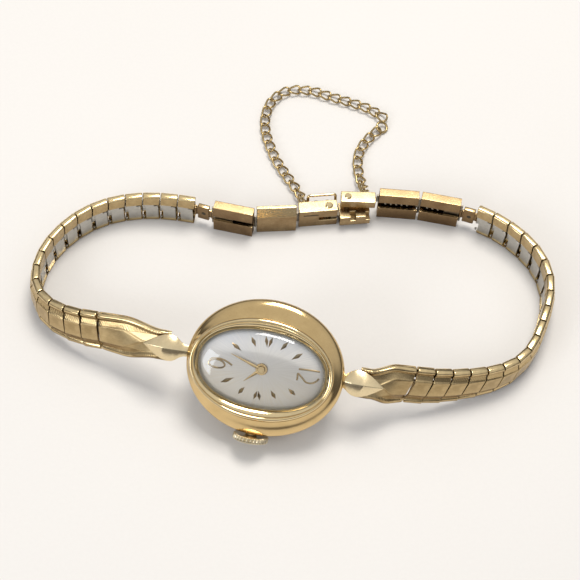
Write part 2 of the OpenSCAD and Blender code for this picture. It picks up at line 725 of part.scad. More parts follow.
// A train wheel with its arbor and pinion; the first level is near the plate, the second near the bridge
module train_wheel(at, wheel_level, teeth, tip, pinion_level, leaves, pinion_tip, from = plate_back - 0.4) {
  wheel(at, wheel_level, teeth, tip);
  wheel(at, pinion_level, leaves, pinion_tip, wheel_thick + 0.04, 0.08);
  arbor(at, from, bridge_front + 0.35);
}
module centre_wheel() {
  color(brass) on_case()
    train_wheel(centre_at, upper_level, 64, centre_r, lower_level, 12, barrel_pinion_r, from = cannon_top + 0.05);
}
module third_wheel() {
  color(brass) on_case()
    train_wheel(third_at, lower_level, 60, third_r, upper_level - 0.02, 8, third_pinion_r);
}
module fourth_wheel() {
  color(brass) on_case()
    train_wheel(fourth_at, upper_level, 60, fourth_r, lower_level - 0.02, 8, fourth_pinion_r);
}
module escape_wheel() {
  color(steel) on_case()
    train_wheel(escape_at, lower_level + 0.25, 15, escape_r, upper_level - 0.02, 6, escape_pinion_r);
}
module pallet_fork() {
  level = lower_level + 0.25;
  toward = atan2(balance_at.y - pallet_at.y, balance_at.x - pallet_at.x);
  reach = norm(balance_at - pallet_at) - 0.45;
  color(steel) on_case() {
    arbor(pallet_at, plate_back - 0.4, bridge_front + 0.35);
    translate([pallet_at.x, pallet_at.y, -level - wheel_thick]) rotate([0, 0, toward]) {
      translate([0, -0.1, 0]) cube([reach, 0.2, wheel_thick]);
      translate([-0.12, -0.55, 0]) cube([0.24, 1.1, wheel_thick]);
    }
  }
}
balance_level = plate_back + 0.55;
module balance_wheel() {
  color(brass) on_case() {
    difference() {
      bore(balance_at, balance_r, balance_level, balance_level + wheel_thick);
      bore(balance_at, balance_r - 0.25);
    }
    translate([balance_at.x - balance_r + 0.1, balance_at.y - 0.12, -balance_level - wheel_thick])
      cube([2 * balance_r - 0.2, 0.24, wheel_thick]);
    arbor(balance_at, plate_back - 0.4, bridge_back - 0.1);
    arbor(balance_at, lower_level + 0.2, lower_level + 0.36, 0.3);
  }
}
module hairspring() {
  color(blued) on_case() translate([balance_at.x, balance_at.y, -balance_level - wheel_thick - 0.18])
    linear_extrude(0.1) polygon(spiral_points(arbor_r + 0.04, 1.1, 5, 0.06, 20));
}

// Hands and the motion work that turns them
minute_angle = -6 * minutes_shown;
hour_angle = -30 * (hour_shown + minutes_shown / 60);
hour_front = 0.52;
minute_front = 0.28;
hand_thick = 0.1;
cannon_top = minute_front - hand_thick - 0.08;
module hand(length, width, tip, angle, level) {
  rotate([0, 0, angle]) translate([0, 0, -level]) linear_extrude(hand_thick)
    polygon([[-0.6, -width / 2], [length * 0.25, -width / 2 - 0.04], [length, -tip / 2], [length, tip / 2],
             [length * 0.25, width / 2 + 0.04], [-0.6, width / 2]]);
}
module minute_hand() {
  color(bright_gold) on_case() difference() {
    union() {
      hand(minute_length, 0.3, 0.1, minute_angle, minute_front);
      bore(centre_at, 0.45, cannon_top, minute_front);
      bore(centre_at, 0.3, minute_front, plate_top - 0.05);
      wheel(centre_at, plate_top - 0.22, 12, cannon_r, 0.17, 0.08);
    }
    bore(centre_at, arbor_r + run_gap, cannon_top + 0.05);
  }
}
module hour_wheel() {
  color(brass) on_case() difference() {
    union() {
      wheel(centre_at, dial_back + 0.05, 36, hour_wheel_r, 0.14);
      bore(centre_at, 0.48, hour_front, dial_back + 0.1);
    }
    bore(centre_at, 0.3 + run_gap + 0.02);
  }
}
module hour_hand() {
  color(bright_gold) on_case() difference() {
    union() {
      hand(hour_length, 0.36, 0.14, hour_angle, hour_front);
      bore(centre_at, 0.7, hour_front - hand_thick, hour_front);
    }
    bore(centre_at, 0.3 + run_gap + 0.02);
  }
}
module minute_wheel() {
  color(brass) on_case() {
    wheel(minute_at, plate_top - 0.22, 32, minute_wheel_r, 0.14);
    wheel(minute_at, dial_back + 0.05, 8, minute_pinion_r, plate_top - 0.2 - dial_back, 0.08);
    arbor(minute_at, plate_top - 0.1, plate_top + 0.5);
  }
}

// Spring bars in the lugs, and the end pieces that hinge on them
module at_hinge(side) {
  on_case() translate([side * lug_reach, lug_offset, -hinge_drop]) rotate([90, 0, 0]) children();
}
module spring_bars() {
  color(steel) for (side = [-1, 1]) at_hinge(side) cylinder(h = band_width - 0.6, r = spring_bar_r, center = true);
}

// Frame of the end piece between the hinge and the first joint, with its own outward and width directions
hinge_reach = 0.75;
function end_frame(side, t) =
  let (
    near = case_point([side * (lug_reach + hinge_reach), lug_offset, -hinge_drop]),
    f = side > 0 ? right_frame(0) : left_frame(0),
    far = side > 0 ? right_joints[0] : left_joints[0],
    o = mix(near, far - side * f[0] * (wire_r + mesh_gap), t),
    w = unit(mix(turn_case([0, 1, 0]), f[1], t)),
    x = unit(mix(turn_case([1, 0, 0]), f[0], t)),
    z = unit(cross(x, w))
  ) [cross(w, z), w, z, o];
function end_outline(h) =
  concat(section_outline(band_width / 2, h), [[0.2 - band_width / 2, -h], [band_width / 2 - 0.2, -h]]);
function end_section(side, t) =
  let (f = end_frame(side, t)) [for (q = end_outline(band_thick / 2)) f[3] + f[1] * q[0] + f[2] * q[1]];

// Rings round the hinge, at a distance from its axis and half as thick as the last number says, with a plain top
function hinge_section(side, reach, h) =
  let (f = end_frame(side, 0), o = f[3] + f[0] * side * (reach - hinge_reach))
    [for (q = end_outline(h)) o + f[1] * q[0] + f[2] * (q[1] > h * 0.3 ? h : q[1])];
module end_piece(side) {
  slot_half = knuckle_half + 0.06;
  rings = [[-0.55, 0.25], [-0.35, 0.48], [-0.05, knuckle_r], [0.45, knuckle_r]];
  sections = concat([for (r = rings) hinge_section(side, r[0], r[1])], [for (t = [0, 0.33, 0.66, 1]) end_section(side, t)]);
  last = len(sections) - 1;
  color(gold) difference() {
    on_table() skin(side > 0 ? sections : [for (i = [last : -1 : 0]) sections[i]]);
    on_case() translate([side * (lug_reach - past + knuckle_r + 0.06), lug_offset, -hinge_drop])
      cube([2 * past, 2 * slot_half, 3], center = true);
    at_hinge(side) cylinder(h = band_width - 0.5, r = spring_bar_r + run_gap, center = true);
  }
}

// Clasp bars: open channels with a coil spring, and one closed box bar

module bar_channel(height) {
  difference() {
    translate([bar_gap, 0, 0]) cube([bar_length, bar_depth, height]);
    translate([0, -past, bar_wall]) cube([bar_length + 2 * bar_gap, past + bar_depth - bar_wall, height - 2 * bar_wall]);
  }
}
module bar_pin(x, low, high) {
  translate([x, 0, low]) cylinder(h = high - low, r = pin_r);
}
bar_front = bar_depth / 2;
module clasp_bar_left_outer() {
  at_pin(left_bar_pin, left_bar_heading) {
    color(gold) translate([0, -bar_front, 0]) bar_channel(bar_height);
    color(steel) translate([0.1, -0.25, 1.2]) difference() {
      cube([2.6, 0.35, 2.6]);
      translate([0.9, 0, 1.3]) rotate([90, 0, 0]) cylinder(h = past * 2, r = 0.4, center = true);
    }
    color(steel) bar_pin(0, 0.9, 4.4);
    color(steel) translate([0.05, -0.12, 3.4]) cube([0.4, 0.24, 0.3]);
  }
}
box_height = 4.4;
module clasp_bar_left_inner() {
  at_pin(left_middle_pin, inner_bar_heading) {
    color(gold) translate([bar_gap, 0, 0]) rotate([90, 0, 90]) linear_extrude(bar_length)
      polygon([[-0.35, 0], [0.95, 0], [0.95, box_height], [0.15, box_height], [-0.35, box_height - 1.1]]);
    color(steel) bar_pin(0, 1, 3.4);
    color(steel) translate([0.05, 0, 2]) cube([0.4, 0.2, 0.5]);
  }
}

// Snap block with the slot that holds the snap plate, and the rivet that it turns on
block_length = 5.05;
slot_low = 1.25;
slot_high = 1.95;
module snap_block() {
  at_pin(block_pin, block_heading) {
    color(gold) difference() {
      translate([bar_gap, -0.4, 0]) cube([block_length, block_depth, block_height]);
      translate([2.9, -past, slot_low]) cube([block_length, block_depth + 2 * past, slot_high - slot_low]);
      translate([0.8, -past - 0.25, 2.5]) cube([2, past, 0.18]);
    }
    color(bright_gold) {
      translate([rivet_x, rivet_y, block_height]) cylinder(h = 0.18, r = 0.5);
      translate([rivet_x, rivet_y, slot_low]) cylinder(h = slot_high - slot_low, r = rivet_r);
    }
    color(gold) for (x = [guard_left + 0.7, guard_right - 1.1]) translate([x, guard_back, guard_hinge])
      rotate([0, 90, 0]) difference() {
        cylinder(h = 0.4, r = guard_r + 0.2);
        translate([0, 0, -past]) cylinder(h = 3, r = guard_r + run_gap);
      }
    color(steel) bar_pin(0, 1, 3);
    color(steel) translate([0.05, -0.1, 1.8]) cube([0.4, 0.2, 0.5]);
    color(steel) translate(block_anchor) anchor_ring();
  }
}
plate_low = 0.7;
plate_high = 2.5;
plate_depth = 2.7;
module snap_plate() {
  tongue = 0.5;
  start = block_length + bar_gap - rivet_x + 0.25;
  color(gold) at_pin(rivet_at, block_heading) {
    difference() {
      union() {
        translate([start, -1.55, plate_low]) cube([snap_length, plate_depth, plate_high - plate_low]);
        translate([0, -0.6, slot_low + 0.1]) cube([start + 0.1, 1.2, tongue]);
        translate([0, 0, slot_low + 0.1]) cylinder(h = tongue, r = 0.6);
      }
      cylinder(h = 5, r = rivet_r + run_gap);
      translate([start + 1.4, -1.55 - past, 1.6]) cube([0.75, past + 1, 2]);
      translate([start + snap_length - 0.6, -1.55 - past, 1.7]) cube([2, past + 0.8, 2]);
    }
  }
}

// Wire guard: hinged along the back of the snap block
guard_reach = 1.35;
guard_back = block_depth - 0.4 + guard_r + 0.05;
guard_lean = -18;
guard_left = 2.3;
guard_right = 5.2;
guard_hinge = 2.5;
module guard_bead() {
  sphere(r = guard_r * 1.15);
}
module clasp_guard() {
  color(bright_gold) at_pin(block_pin, block_heading) translate([0, guard_back, guard_hinge]) {
    translate([guard_left, 0, 0]) rotate([0, 90, 0]) cylinder(h = guard_right - guard_left, r = guard_r);
    rotate([guard_lean, 0, 0]) {
      for (x = [guard_left, guard_right]) translate([x, 0, 0]) {
        guard_bead();
        cylinder(h = guard_reach, r = guard_r * 0.9);
        translate([0, 0, guard_reach]) guard_bead();
      }
      translate([guard_left, 0, guard_reach]) rotate([0, 90, 0]) cylinder(h = guard_right - guard_left, r = guard_r);
    }
  }
}

// Catch block over the snap plate, with the stud that clicks into its notch
catch_length = 4.6;
module catch_block() {
  at_pin(catch_pin, catch_heading) {
    color(gold) translate([-bar_gap - catch_length, -block_depth / 2 - 0.35, catch_level])
      cube([catch_length, block_depth, catch_thick]);
    color(bright_gold) translate([-bar_gap - catch_length + 0.95, -0.35, catch_level + catch_thick])
      cylinder(h = 0.16, r = 0.45);
    color(steel) translate([-bar_gap - catch_length + 0.95, -0.35, plate_high + 0.1])
      cylinder(h = catch_level - plate_high - 0.1, r = 0.35);
    color(steel) bar_pin(0, catch_level, catch_level + catch_thick);
    color(steel) translate([-0.45, -0.1, catch_level + 0.4]) cube([0.4, 0.2, 0.5]);
    color(steel) translate(catch_anchor) anchor_ring();
  }
}

module clasp_bar_right_inner() {
  at_pin(right_middle_pin, right_inner_heading) {
    color(gold) translate([-pin_step, -bar_front, 0]) difference() {
      bar_channel(bar_height);
      translate([0, -past, catch_level - 0.2]) cube([bar_gap + 0.3, 4, catch_thick + 0.4]);
    }
    color(steel) bar_pin(0, 1, 4.2);
    color(steel) translate([-0.45, -0.1, 2.2]) cube([0.4, 0.2, 0.5]);
    translate([0.45 - pin_step + bar_gap, 0.05, bar_height - 1.15]) coil_spring(spring_curls);
  }
}
module clasp_bar_right_outer() {
  at_pin(right_bar_pin, right_outer_heading) {
    color(gold) translate([-pin_step, -bar_front, 0]) bar_channel(bar_height);
    color(steel) bar_pin(0, 0.9, 4.4);
    color(steel) translate([-2.2, -0.15, 1.2]) cube([2.1, 0.3, 2.6]);
    translate([0.45 - pin_step + bar_gap, 0.05, bar_height - 1.15]) coil_spring(spring_curls - 2);
  }
}

// Safety chain: straight-sided wire links, each turned a quarter turn from its neighbour

chain_play = 0.07;
chain_pitch = chain_link_length - 4 * chain_wire_r - chain_play;
chain_reach = chain_link_length / 2 - chain_wire_r;
module chain_link(wire, length, width) {
  r = width / 2 - wire;
  straight = length - width;
  for (end = [-1, 1]) translate([end * straight / 2, 0, 0]) rotate([0, 0, end * -90])
    rotate_extrude(angle = 180) translate([r, 0]) circle(wire, $fn = 24);
  for (side = [-1, 1]) translate([0, side * r, 0]) rotate([0, 90, 0])
    cylinder(h = straight, r = wire, center = true, $fn = 24);
}

// Rings on the backs of the two blocks; the first link of each run hangs in one
anchor_r = 0.5;
anchor_slack = 0.14;
module anchor_ring() {
  rotate([90, 0, 90]) rotate_extrude() translate([anchor_r, 0]) circle(chain_wire_r);
}
block_anchor = [1, block_depth - 0.4 + anchor_slack, 2.9];
catch_anchor = [-1.7, block_depth / 2 - 0.35 + anchor_slack, catch_level + 0.5];
function chain_end(pin, heading, anchor) =
  [pin.x, pin.y, 0] + along(heading, anchor.x, anchor.y + anchor_slack) + [0, 0, anchor.z];
long_end = chain_end(block_pin, block_heading, block_anchor);
short_end = chain_end(catch_pin, catch_heading, catch_anchor);

// The chain's lay on the table, as hand-placed points that a smooth curve passes through
chain_height = 0.6;
long_lay = [[0.7, 6.5, 1.3], [0.1, 8.1, 0.6], [-1.85, 10.9, 0.6], [-3.25, 13.1, 0.6], [-4.3, 15.4, 0.6],
            [-5.1, 17.9, 0.6], [-5.3, 20.5, 0.6], [-4.6, 23.2, 0.6], [-2.6, 25.2, 0.6], [0.6, 25.6, 0.6],
            [3.7, 24.8, 0.6], [7.1, 23.9, 0.6], [9.2, 23.15, 0.6], [10.9, 22.1, 0.6]];
short_lay = [[8.9, 7.7, 2.8], [8.8, 9.2, 1.6], [8.5, 10.7, 0.8], [8.1, 12.5, 0.6], [7.96, 14.5, 0.6], [8.4, 16.4, 0.6],
             [9.5, 18.3, 0.6], [10.7, 19.6, 0.6], [12, 20.5, 0.6]];
function spline(points, t) =
  let (
    n = len(points) - 1, i = clip(floor(t), 0, n - 1), u = t - i,
    a = points[max(i - 1, 0)], b = points[i], c = points[i + 1], d = points[min(i + 2, n)],
    q = 0.5 * (2 * b + (c - a) * u + (2 * a - 5 * b + 4 * c - d) * u * u + (3 * b - 3 * c + d - a) * u * u * u)
  ) [q.x, q.y, max(q.z, chain_height)];

// Places along a lay whose straight distances are one chain pitch; the first is half a link from its ring
function step_along(points, q, t, pitch) =
  t > len(points) - 1 ? t : norm(spline(points, t) - q) >= pitch ? t : step_along(points, q, t + 0.004, pitch);
function chain_places(points, count) = [
  for (k = 0, t = step_along(points, points[0], 0, chain_reach), q = spline(points, t); k < count;
       t = step_along(points, q, t, chain_pitch), q = spline(points, t), k = k + 1) q
];
long_places = chain_places(concat([long_end], long_lay), 26);
short_places = chain_places(concat([short_end], short_lay), 10);

// Direction and roll of each link: flat in its ring at first, then leaning half way over
function chain_direction(places, first, k) =
  k == 0 ? places[0] - first : places[min(k + 1, len(places) - 1)] - places[k - 1];
function chain_roll(k) = min(15 * k, 45) - (k % 2 == 0 ? 0 : 90);
module at_chain_link(q, d, roll) {
  translate(q) rotate([0, -atan2(d.z, norm([d.x, d.y])), atan2(d.y, d.x)]) rotate([roll, 0, 0]) children();
}
module chain(places, first) {
  color(bright_gold) on_table() for (k = [0 : len(places) - 1])
    at_chain_link(places[k], chain_direction(places, first, k), chain_roll(k))
      chain_link(chain_wire_r, chain_link_length, chain_link_width);
}
module safety_chain_long() {
  chain(long_places, long_end);
}

// The short run carries the ring that joins the two runs when the chain is done up
joining_ring_r = 0.75;
joining_wire_r = 0.17;
joining_roll = 25;
module safety_chain_short() {
  last = len(short_places) - 1;
  d = short_places[last] - short_places[last - 1];
  reach = chain_reach - chain_wire_r - joining_wire_r - chain_play / 2 + joining_ring_r;
  chain(short_places, short_end);
  color(bright_gold) on_table() at_chain_link(short_places[last], d, joining_roll)
    translate([reach, 0, 0]) rotate_extrude() translate([joining_ring_r, 0]) circle(joining_wire_r);
}

case_body();
bezel();
case_back();
crystal();
dial();
spring_bars();
main_plate();
barrel_bridge();
train_bridge();
balance_cock();
bridge_screws();
crown();
winding_stem();
winding_pinion();
crown_wheel();
ratchet_wheel();
barrel();
mainspring();
centre_wheel();
minute_hand();
hour_wheel();
hour_hand();
minute_wheel();
third_wheel();
fourth_wheel();
escape_wheel();
pallet_fork();
balance_wheel();
hairspring();
end_piece(-1);  // end_piece_left
end_piece(1);  // end_piece_right
left_pair(1);  // links_left_1
left_pair(2);  // links_left_2
left_pair(3);  // links_left_3
left_pair(4);  // links_left_4
left_pair(5);  // links_left_5
left_pair(6);  // links_left_6
left_pair(7);  // links_left_7
left_pair(8);  // links_left_8
left_pair(9);  // links_left_9
right_pair(1);  // links_right_1
right_pair(2);  // links_right_2
right_pair(3);  // links_right_3
right_pair(4);  // links_right_4
right_pair(5);  // links_right_5
right_pair(6);  // links_right_6
right_pair(7);  // links_right_7
right_pair(8);  // links_right_8
right_pair(9);  // links_right_9
clasp_bar_left_outer();
clasp_bar_left_inner();
snap_block();
snap_plate();
clasp_guard();
catch_block();
clasp_bar_right_inner();
clasp_bar_right_outer();
safety_chain_long();
safety_chain_short();
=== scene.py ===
# Hand-wound cocktail watch: the looks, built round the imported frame
import math

import bmesh
import bpy
import numpy as np
from mathutils import Matrix, Vector


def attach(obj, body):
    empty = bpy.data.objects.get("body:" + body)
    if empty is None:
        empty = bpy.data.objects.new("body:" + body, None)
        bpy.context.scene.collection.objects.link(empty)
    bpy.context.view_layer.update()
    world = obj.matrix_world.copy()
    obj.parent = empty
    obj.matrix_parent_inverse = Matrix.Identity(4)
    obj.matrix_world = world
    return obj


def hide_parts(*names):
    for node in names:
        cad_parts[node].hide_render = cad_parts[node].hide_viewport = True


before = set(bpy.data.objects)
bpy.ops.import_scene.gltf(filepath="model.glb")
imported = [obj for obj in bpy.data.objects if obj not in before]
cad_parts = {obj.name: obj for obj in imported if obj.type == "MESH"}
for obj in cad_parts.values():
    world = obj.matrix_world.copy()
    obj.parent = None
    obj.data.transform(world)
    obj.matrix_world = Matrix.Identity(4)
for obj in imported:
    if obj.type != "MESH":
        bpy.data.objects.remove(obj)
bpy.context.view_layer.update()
mm = 0.001
print("frame loaded:", len(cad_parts), "nodes")

# The whole watch on its table: sizes in mm and degrees, the same as the solids
watch = {
    "centre": (0.41, -2.33),
    "caseX": -2.7,
    "caseY": -23.55,
    "tilt": 38,
    "turn": 7,
    "stemDrop": 2.1,
    "crownRadius": 2.2,
    "crownSeat": 8.49,
    "crownThick": 0.8,
}


def toRadians(*angles):
    return [math.radians(a) for a in angles]


def mixed(a, b, t):
    return a * (1 - t) + b * t


def turned(angle, axis):
    return Matrix.Rotation(math.radians(angle), 4, axis)


def moved(x, y, z):
    return Matrix.Translation((x * mm, y * mm, z * mm))


tableShift = moved(-watch["centre"][0], -watch["centre"][1], 0)
tilt, = toRadians(watch["tilt"])
caseHeight = (watch["crownSeat"] + watch["crownThick"]) * math.sin(tilt)
caseHeight += (watch["stemDrop"] + watch["crownRadius"]) * math.cos(tilt)
onCase = tableShift @ moved(watch["caseX"], watch["caseY"], caseHeight)
onCase = onCase @ turned(-watch["turn"], "Z") @ turned(watch["tilt"], "X")


def casePoint(x, y, z):
    return onCase @ Vector((x * mm, y * mm, z * mm)) / mm


# Camera: the photograph's angle, a long lens looking down at sixty degrees with a slight roll
camera = {"place": (0, -98.7, 158.91), "down": 60, "roll": 4.5, "focal": 1400, "picture": 580}


def makeCamera():
    down, roll = toRadians(camera["down"], camera["roll"])
    forward = Vector((0, math.cos(down), -math.sin(down)))
    side = Vector((1, 0, 0))
    up = side.cross(forward)
    right = side * math.cos(roll) + up * math.sin(roll)
    top = up * math.cos(roll) - side * math.sin(roll)
    lens = bpy.data.cameras.new("camera")
    lens.sensor_width = 36
    lens.lens = camera["focal"] / camera["picture"] * lens.sensor_width
    lens.clip_start = 0.01
    made = bpy.data.objects.new("camera", lens)
    bpy.context.scene.collection.objects.link(made)
    turn = Matrix((right, top, -forward)).transposed().to_4x4()
    made.matrix_world = tableShift @ moved(*camera["place"]) @ turn
    bpy.context.scene.camera = made


makeCamera()
print("camera set")


# Shader maths: a number on a socket, and expressions on it that add their own Math nodes
class Number:
    def __init__(self, paint, socket):
        self.paint = paint
        self.socket = socket

    def maths(self, operation, *values):
        return self.paint.node("ShaderNodeMath", {"operation": operation}, dict(enumerate(values)))

    def __add__(self, other):
        return self.maths("ADD", self, other)

    def __radd__(self, other):
        return self.maths("ADD", other, self)

    def __sub__(self, other):
        return self.maths("SUBTRACT", self, other)

    def __mul__(self, other):
        return self.maths("MULTIPLY", self, other)

    def __pow__(self, other):
        return self.maths("POWER", self, other)

    def clamped(self):
        return self.maths("MINIMUM", self.maths("MAXIMUM", self, 0), 1)


class Paint:
    def __init__(self, name):
        self.material = bpy.data.materials.new(name)
        self.material.use_nodes = True
        self.tree = self.material.node_tree
        self.tree.nodes.clear()
        self.mmPlace = None

    def node(self, kind, settings=None, sockets=None, out=0):
        made = self.tree.nodes.new(kind)
        for key, value in (settings or {}).items():
            setattr(made, key, value)
        for key, value in (sockets or {}).items():
            if isinstance(value, Number):
                self.tree.links.new(value.socket, made.inputs[key])
            else:
                made.inputs[key].default_value = value
        return Number(self, made.outputs[out])

    # Place on the piece in mm, in the piece's own axes
    def place(self):
        if self.mmPlace is None:
            where = self.node("ShaderNodeTexCoord", out="Object")
            sockets = {0: where, "Scale": 1 / mm}
            self.mmPlace = self.node("ShaderNodeVectorMath", {"operation": "SCALE"}, sockets)
        return self.mmPlace

    def axes(self, where=None):
        split = self.node("ShaderNodeSeparateXYZ", None, {0: where or self.place()}).socket.node
        return [Number(self, split.outputs[i]) for i in range(3)]

    # Direction that the surface faces, in the piece's own axes
    def facing(self):
        return self.axes(self.node("ShaderNodeTexCoord", out="Normal"))

    def stretched(self, x, y, z):
        return self.node("ShaderNodeMapping", None, {"Vector": self.place(), "Scale": (x, y, z)})

    def noise(self, scale, where=None, detail=3, rough=0.5):
        settings = {"Vector": where or self.place(), "Scale": scale, "Detail": detail, "Roughness": rough}
        return self.node("ShaderNodeTexNoise", None, settings)

    def colours(self, factor, a, b):
        sockets = {0: factor, 6: a, 7: b}
        for key in (6, 7):
            if not isinstance(sockets[key], Number):
                sockets[key] = (*sockets[key], 1)
        return self.node("ShaderNodeMix", {"data_type": "RGBA"}, sockets, out=2)

    def bump(self, height, strength, distance, before=None):
        sockets = {"Height": height, "Strength": strength, "Distance": distance * mm}
        if before is not None:
            sockets["Normal"] = before
        return self.node("ShaderNodeBump", None, sockets)

    def finish(self, colour, metallic, roughness, **more):
        if not isinstance(colour, Number):
            colour = (*colour, 1)
        sockets = {"Base Color": colour, "Metallic": metallic, "Roughness": roughness, **more}
        shader = self.node("ShaderNodeBsdfPrincipled", None, sockets)
        end = self.tree.nodes.new("ShaderNodeOutputMaterial")
        self.tree.links.new(shader.socket, end.inputs["Surface"])
        return self.material


# Gold and steel: dark and light hue, then mottle, polish, grain, fine scratches and painted top light of each
# finish
metals = {
    "caseGold": ((0.44, 0.29, 0.12), (0.84, 0.63, 0.32), 0.5, 0.11, 0.04, 0.15, 0),
    "bezelGold": ((0.62, 0.44, 0.20), (0.94, 0.78, 0.48), 0.5, 0.09, 0.03, 0.12, 0),
    "lugGold": ((0.42, 0.29, 0.13), (0.88, 0.73, 0.46), 0.5, 0.2, 0.08, 0.4, 0.8),
    "claspGold": ((0.20, 0.12, 0.05), (0.92, 0.74, 0.43), 0.45, 0.22, 0.1, 0.4, 0.8),
    "barGold": ((0.15, 0.085, 0.035), (0.66, 0.48, 0.25), 0.5, 0.22, 0.1, 0.4, 0.8),
    # chainGold is darker than the other golds as painted shade: it stands in for the dark surroundings that
    # the thin wires reflect
    "chainGold": ((0.26, 0.185, 0.08), (0.62, 0.47, 0.23), 1.4, 0.27, 0.1, 0.4, 0),
    # markerGold is darker than the hands' gold: partly painted shade for the shading on the small raised
    # facets, partly the numbers' own dark gold
    "markerGold": ((0.30, 0.21, 0.10), (0.70, 0.54, 0.30), 1, 0.2, 0.05, 0.2, 0),
    "handGold": ((0.60, 0.42, 0.18), (0.90, 0.70, 0.38), 1, 0.2, 0.05, 0.2, 0),
    "steel": ((0.16, 0.14, 0.11), (0.38, 0.34, 0.28), 1, 0.32, 0.15, 0.6, 0),
    "linkSteel": ((0.32, 0.31, 0.28), (0.62, 0.60, 0.56), 1, 0.3, 0.15, 0.6, 0),
    "backSteel": ((0.45, 0.44, 0.42), (0.66, 0.65, 0.63), 0.8, 0.28, 0.12, 0.5, 0),
    "crownGold": ((0.34, 0.27, 0.16), (0.86, 0.76, 0.55), 1.2, 0.22, 0.1, 0.3, 0),
    "gilt": ((0.62, 0.48, 0.24), (0.80, 0.66, 0.36), 1, 0.35, 0.08, 0.4, 0),
    "blued": ((0.02, 0.04, 0.16), (0.06, 0.10, 0.30), 1, 0.25, 0.05, 0.3, 0),
}

# Wear and painted light on all of them: scales of the noises, the specks' share, the middle tone, and the
# facing at which the painted top light is even
wearAndPaintedLight = {"cloud": 0.45, "speck": 3.2, "speckShare": 0.3, "scratch": 5, "tone": 0.6, "paintedLightEvenAt": 0.6}
scratchDepth = 0.006


def metal(name):
    dark, light, mottle, polish, grain, fine, lift = metals[name]
    paint = Paint(name)
    cloud = paint.noise(wearAndPaintedLight["cloud"], detail=4, rough=0.6)
    specks = paint.noise(wearAndPaintedLight["speck"], detail=2)
    scratches = paint.noise(wearAndPaintedLight["scratch"], detail=2, rough=0.7)
    tone = wearAndPaintedLight["tone"] + (cloud - 0.5) * mottle + (specks - 0.5) * mottle * wearAndPaintedLight["speckShare"]
    if lift:
        # Painted light and shade: faces that turn up are painted lighter, and upright faces are painted
        # darker brown
        tone = tone + paint.facing()[2] * lift - lift * wearAndPaintedLight["paintedLightEvenAt"]
    colour = paint.colours(tone.clamped(), dark, light)
    roughness = polish + (scratches - 0.4) * grain * 2 + (cloud - 0.5) * grain
    return paint.finish(colour, 1.0, roughness, Normal=paint.bump(scratches, fine, scratchDepth))


# Link covers: polished borders, a satin centre and fine slanted engraving on the slopes between
linkGold = {
    "dark": (0.26, 0.17, 0.07),
    "light": (0.88, 0.69, 0.38),
    "lift": 0.6,
    "satinRough": 0.34,
    "polishRough": 0.17,
    "linesPerMm": 3.2,
    "lineSlant": 0.8,
    "lineDepth": 0.012,
    "lineTone": 0.22,
    "centreTo": 1.12,
    "slopeFrom": 1.05,
    "slopeTo": 1.98,
    "frontFrom": 0.1,
}


def linkMetal():
    kind = linkGold
    paint = Paint("linkGold")
    x, y, z = paint.axes()
    away = y.maths("ABSOLUTE", y)
    onSlope = away.maths("GREATER_THAN", away, kind["slopeFrom"])
    onSlope = onSlope * away.maths("LESS_THAN", away, kind["slopeTo"])
    outside = z.maths("GREATER_THAN", z, kind["frontFrom"])
    inCentre = away.maths("LESS_THAN", away, kind["centreTo"]) * outside
    phase = (x + y * kind["lineSlant"]) * (2 * math.pi * kind["linesPerMm"])
    lines = phase.maths("SINE", phase)
    cloud = paint.noise(0.5, detail=4, rough=0.6)
    brushed = paint.noise(6, paint.stretched(0.3, 3, 1), detail=2, rough=0.7)
    tone = cloud * 0.9 + 0.05 + (brushed - 0.5) * 0.5 - onSlope * outside * kind["lineTone"]
    # Painted light: faces that turn up the band's width are painted lighter, and those that turn down darker
    tone = (tone + (paint.facing()[1] - 0.3) * kind["lift"]).clamped()
    colour = paint.colours(tone, kind["dark"], kind["light"])
    satin = (inCentre + onSlope * 0.5) * (kind["satinRough"] - kind["polishRough"])
    roughness = kind["polishRough"] + satin + (brushed - 0.5) * 0.12
    hatch = paint.bump(lines * onSlope * outside, 0.5, kind["lineDepth"])
    return paint.finish(colour, 1.0, roughness, Normal=paint.bump(brushed, 0.4, scratchDepth, hatch))


# Silvered dial: a sunray finish from the middle, with painted light: a cool tint painted toward the upper
# edge and a warm glow painted toward the lower edge
dialFinish = {"pale": (0.93, 0.91, 0.87), "cream": (0.86, 0.79, 0.66), "cool": (0.68, 0.71, 0.76), "rays": 14}


def dialSilver():
    paint = Paint("dialSilver")
    x, y = paint.axes()[:2]
    angle = x.maths("ARCTAN2", y, x)
    polar = {0: angle * dialFinish["rays"], 1: (x * x + y * y) ** 0.5 * 0.05}
    where = paint.node("ShaderNodeCombineXYZ", None, polar)
    sockets = {"Vector": where, "Scale": 3.0, "Detail": 4.0, "Roughness": 0.65}
    rays = paint.node("ShaderNodeTexNoise", {"noise_dimensions": "2D"}, sockets)
    warm = paint.noise(0.16, detail=2)
    # Painted light: the share of the cool tint grows toward the dial's upper edge, with a broad random warm
    # noise over it
    upper = (y * 0.16 + 0.35 + (warm - 0.5) * 0.8).clamped()
    colour = paint.colours(upper, dialFinish["cream"], dialFinish["cool"])
    colour = paint.colours(((rays - 0.35) * 2).clamped() * 0.8, colour, dialFinish["pale"])
    return paint.finish(colour, 0.25, 0.34 + (rays - 0.5) * 0.2, Normal=paint.bump(rays, 0.15, 0.01))


def clearCrystal():
    paint = Paint("crystal")
    fresnel = paint.node("ShaderNodeFresnel", None, {"IOR": 1.5})
    dust = paint.noise(9, detail=2)
    alpha = (fresnel * 1.15 + 0.012 + (dust - 0.5) * 0.01).clamped()
    return paint.finish((0.94, 0.97, 1.0), 1.0, 0.03, Alpha=alpha)


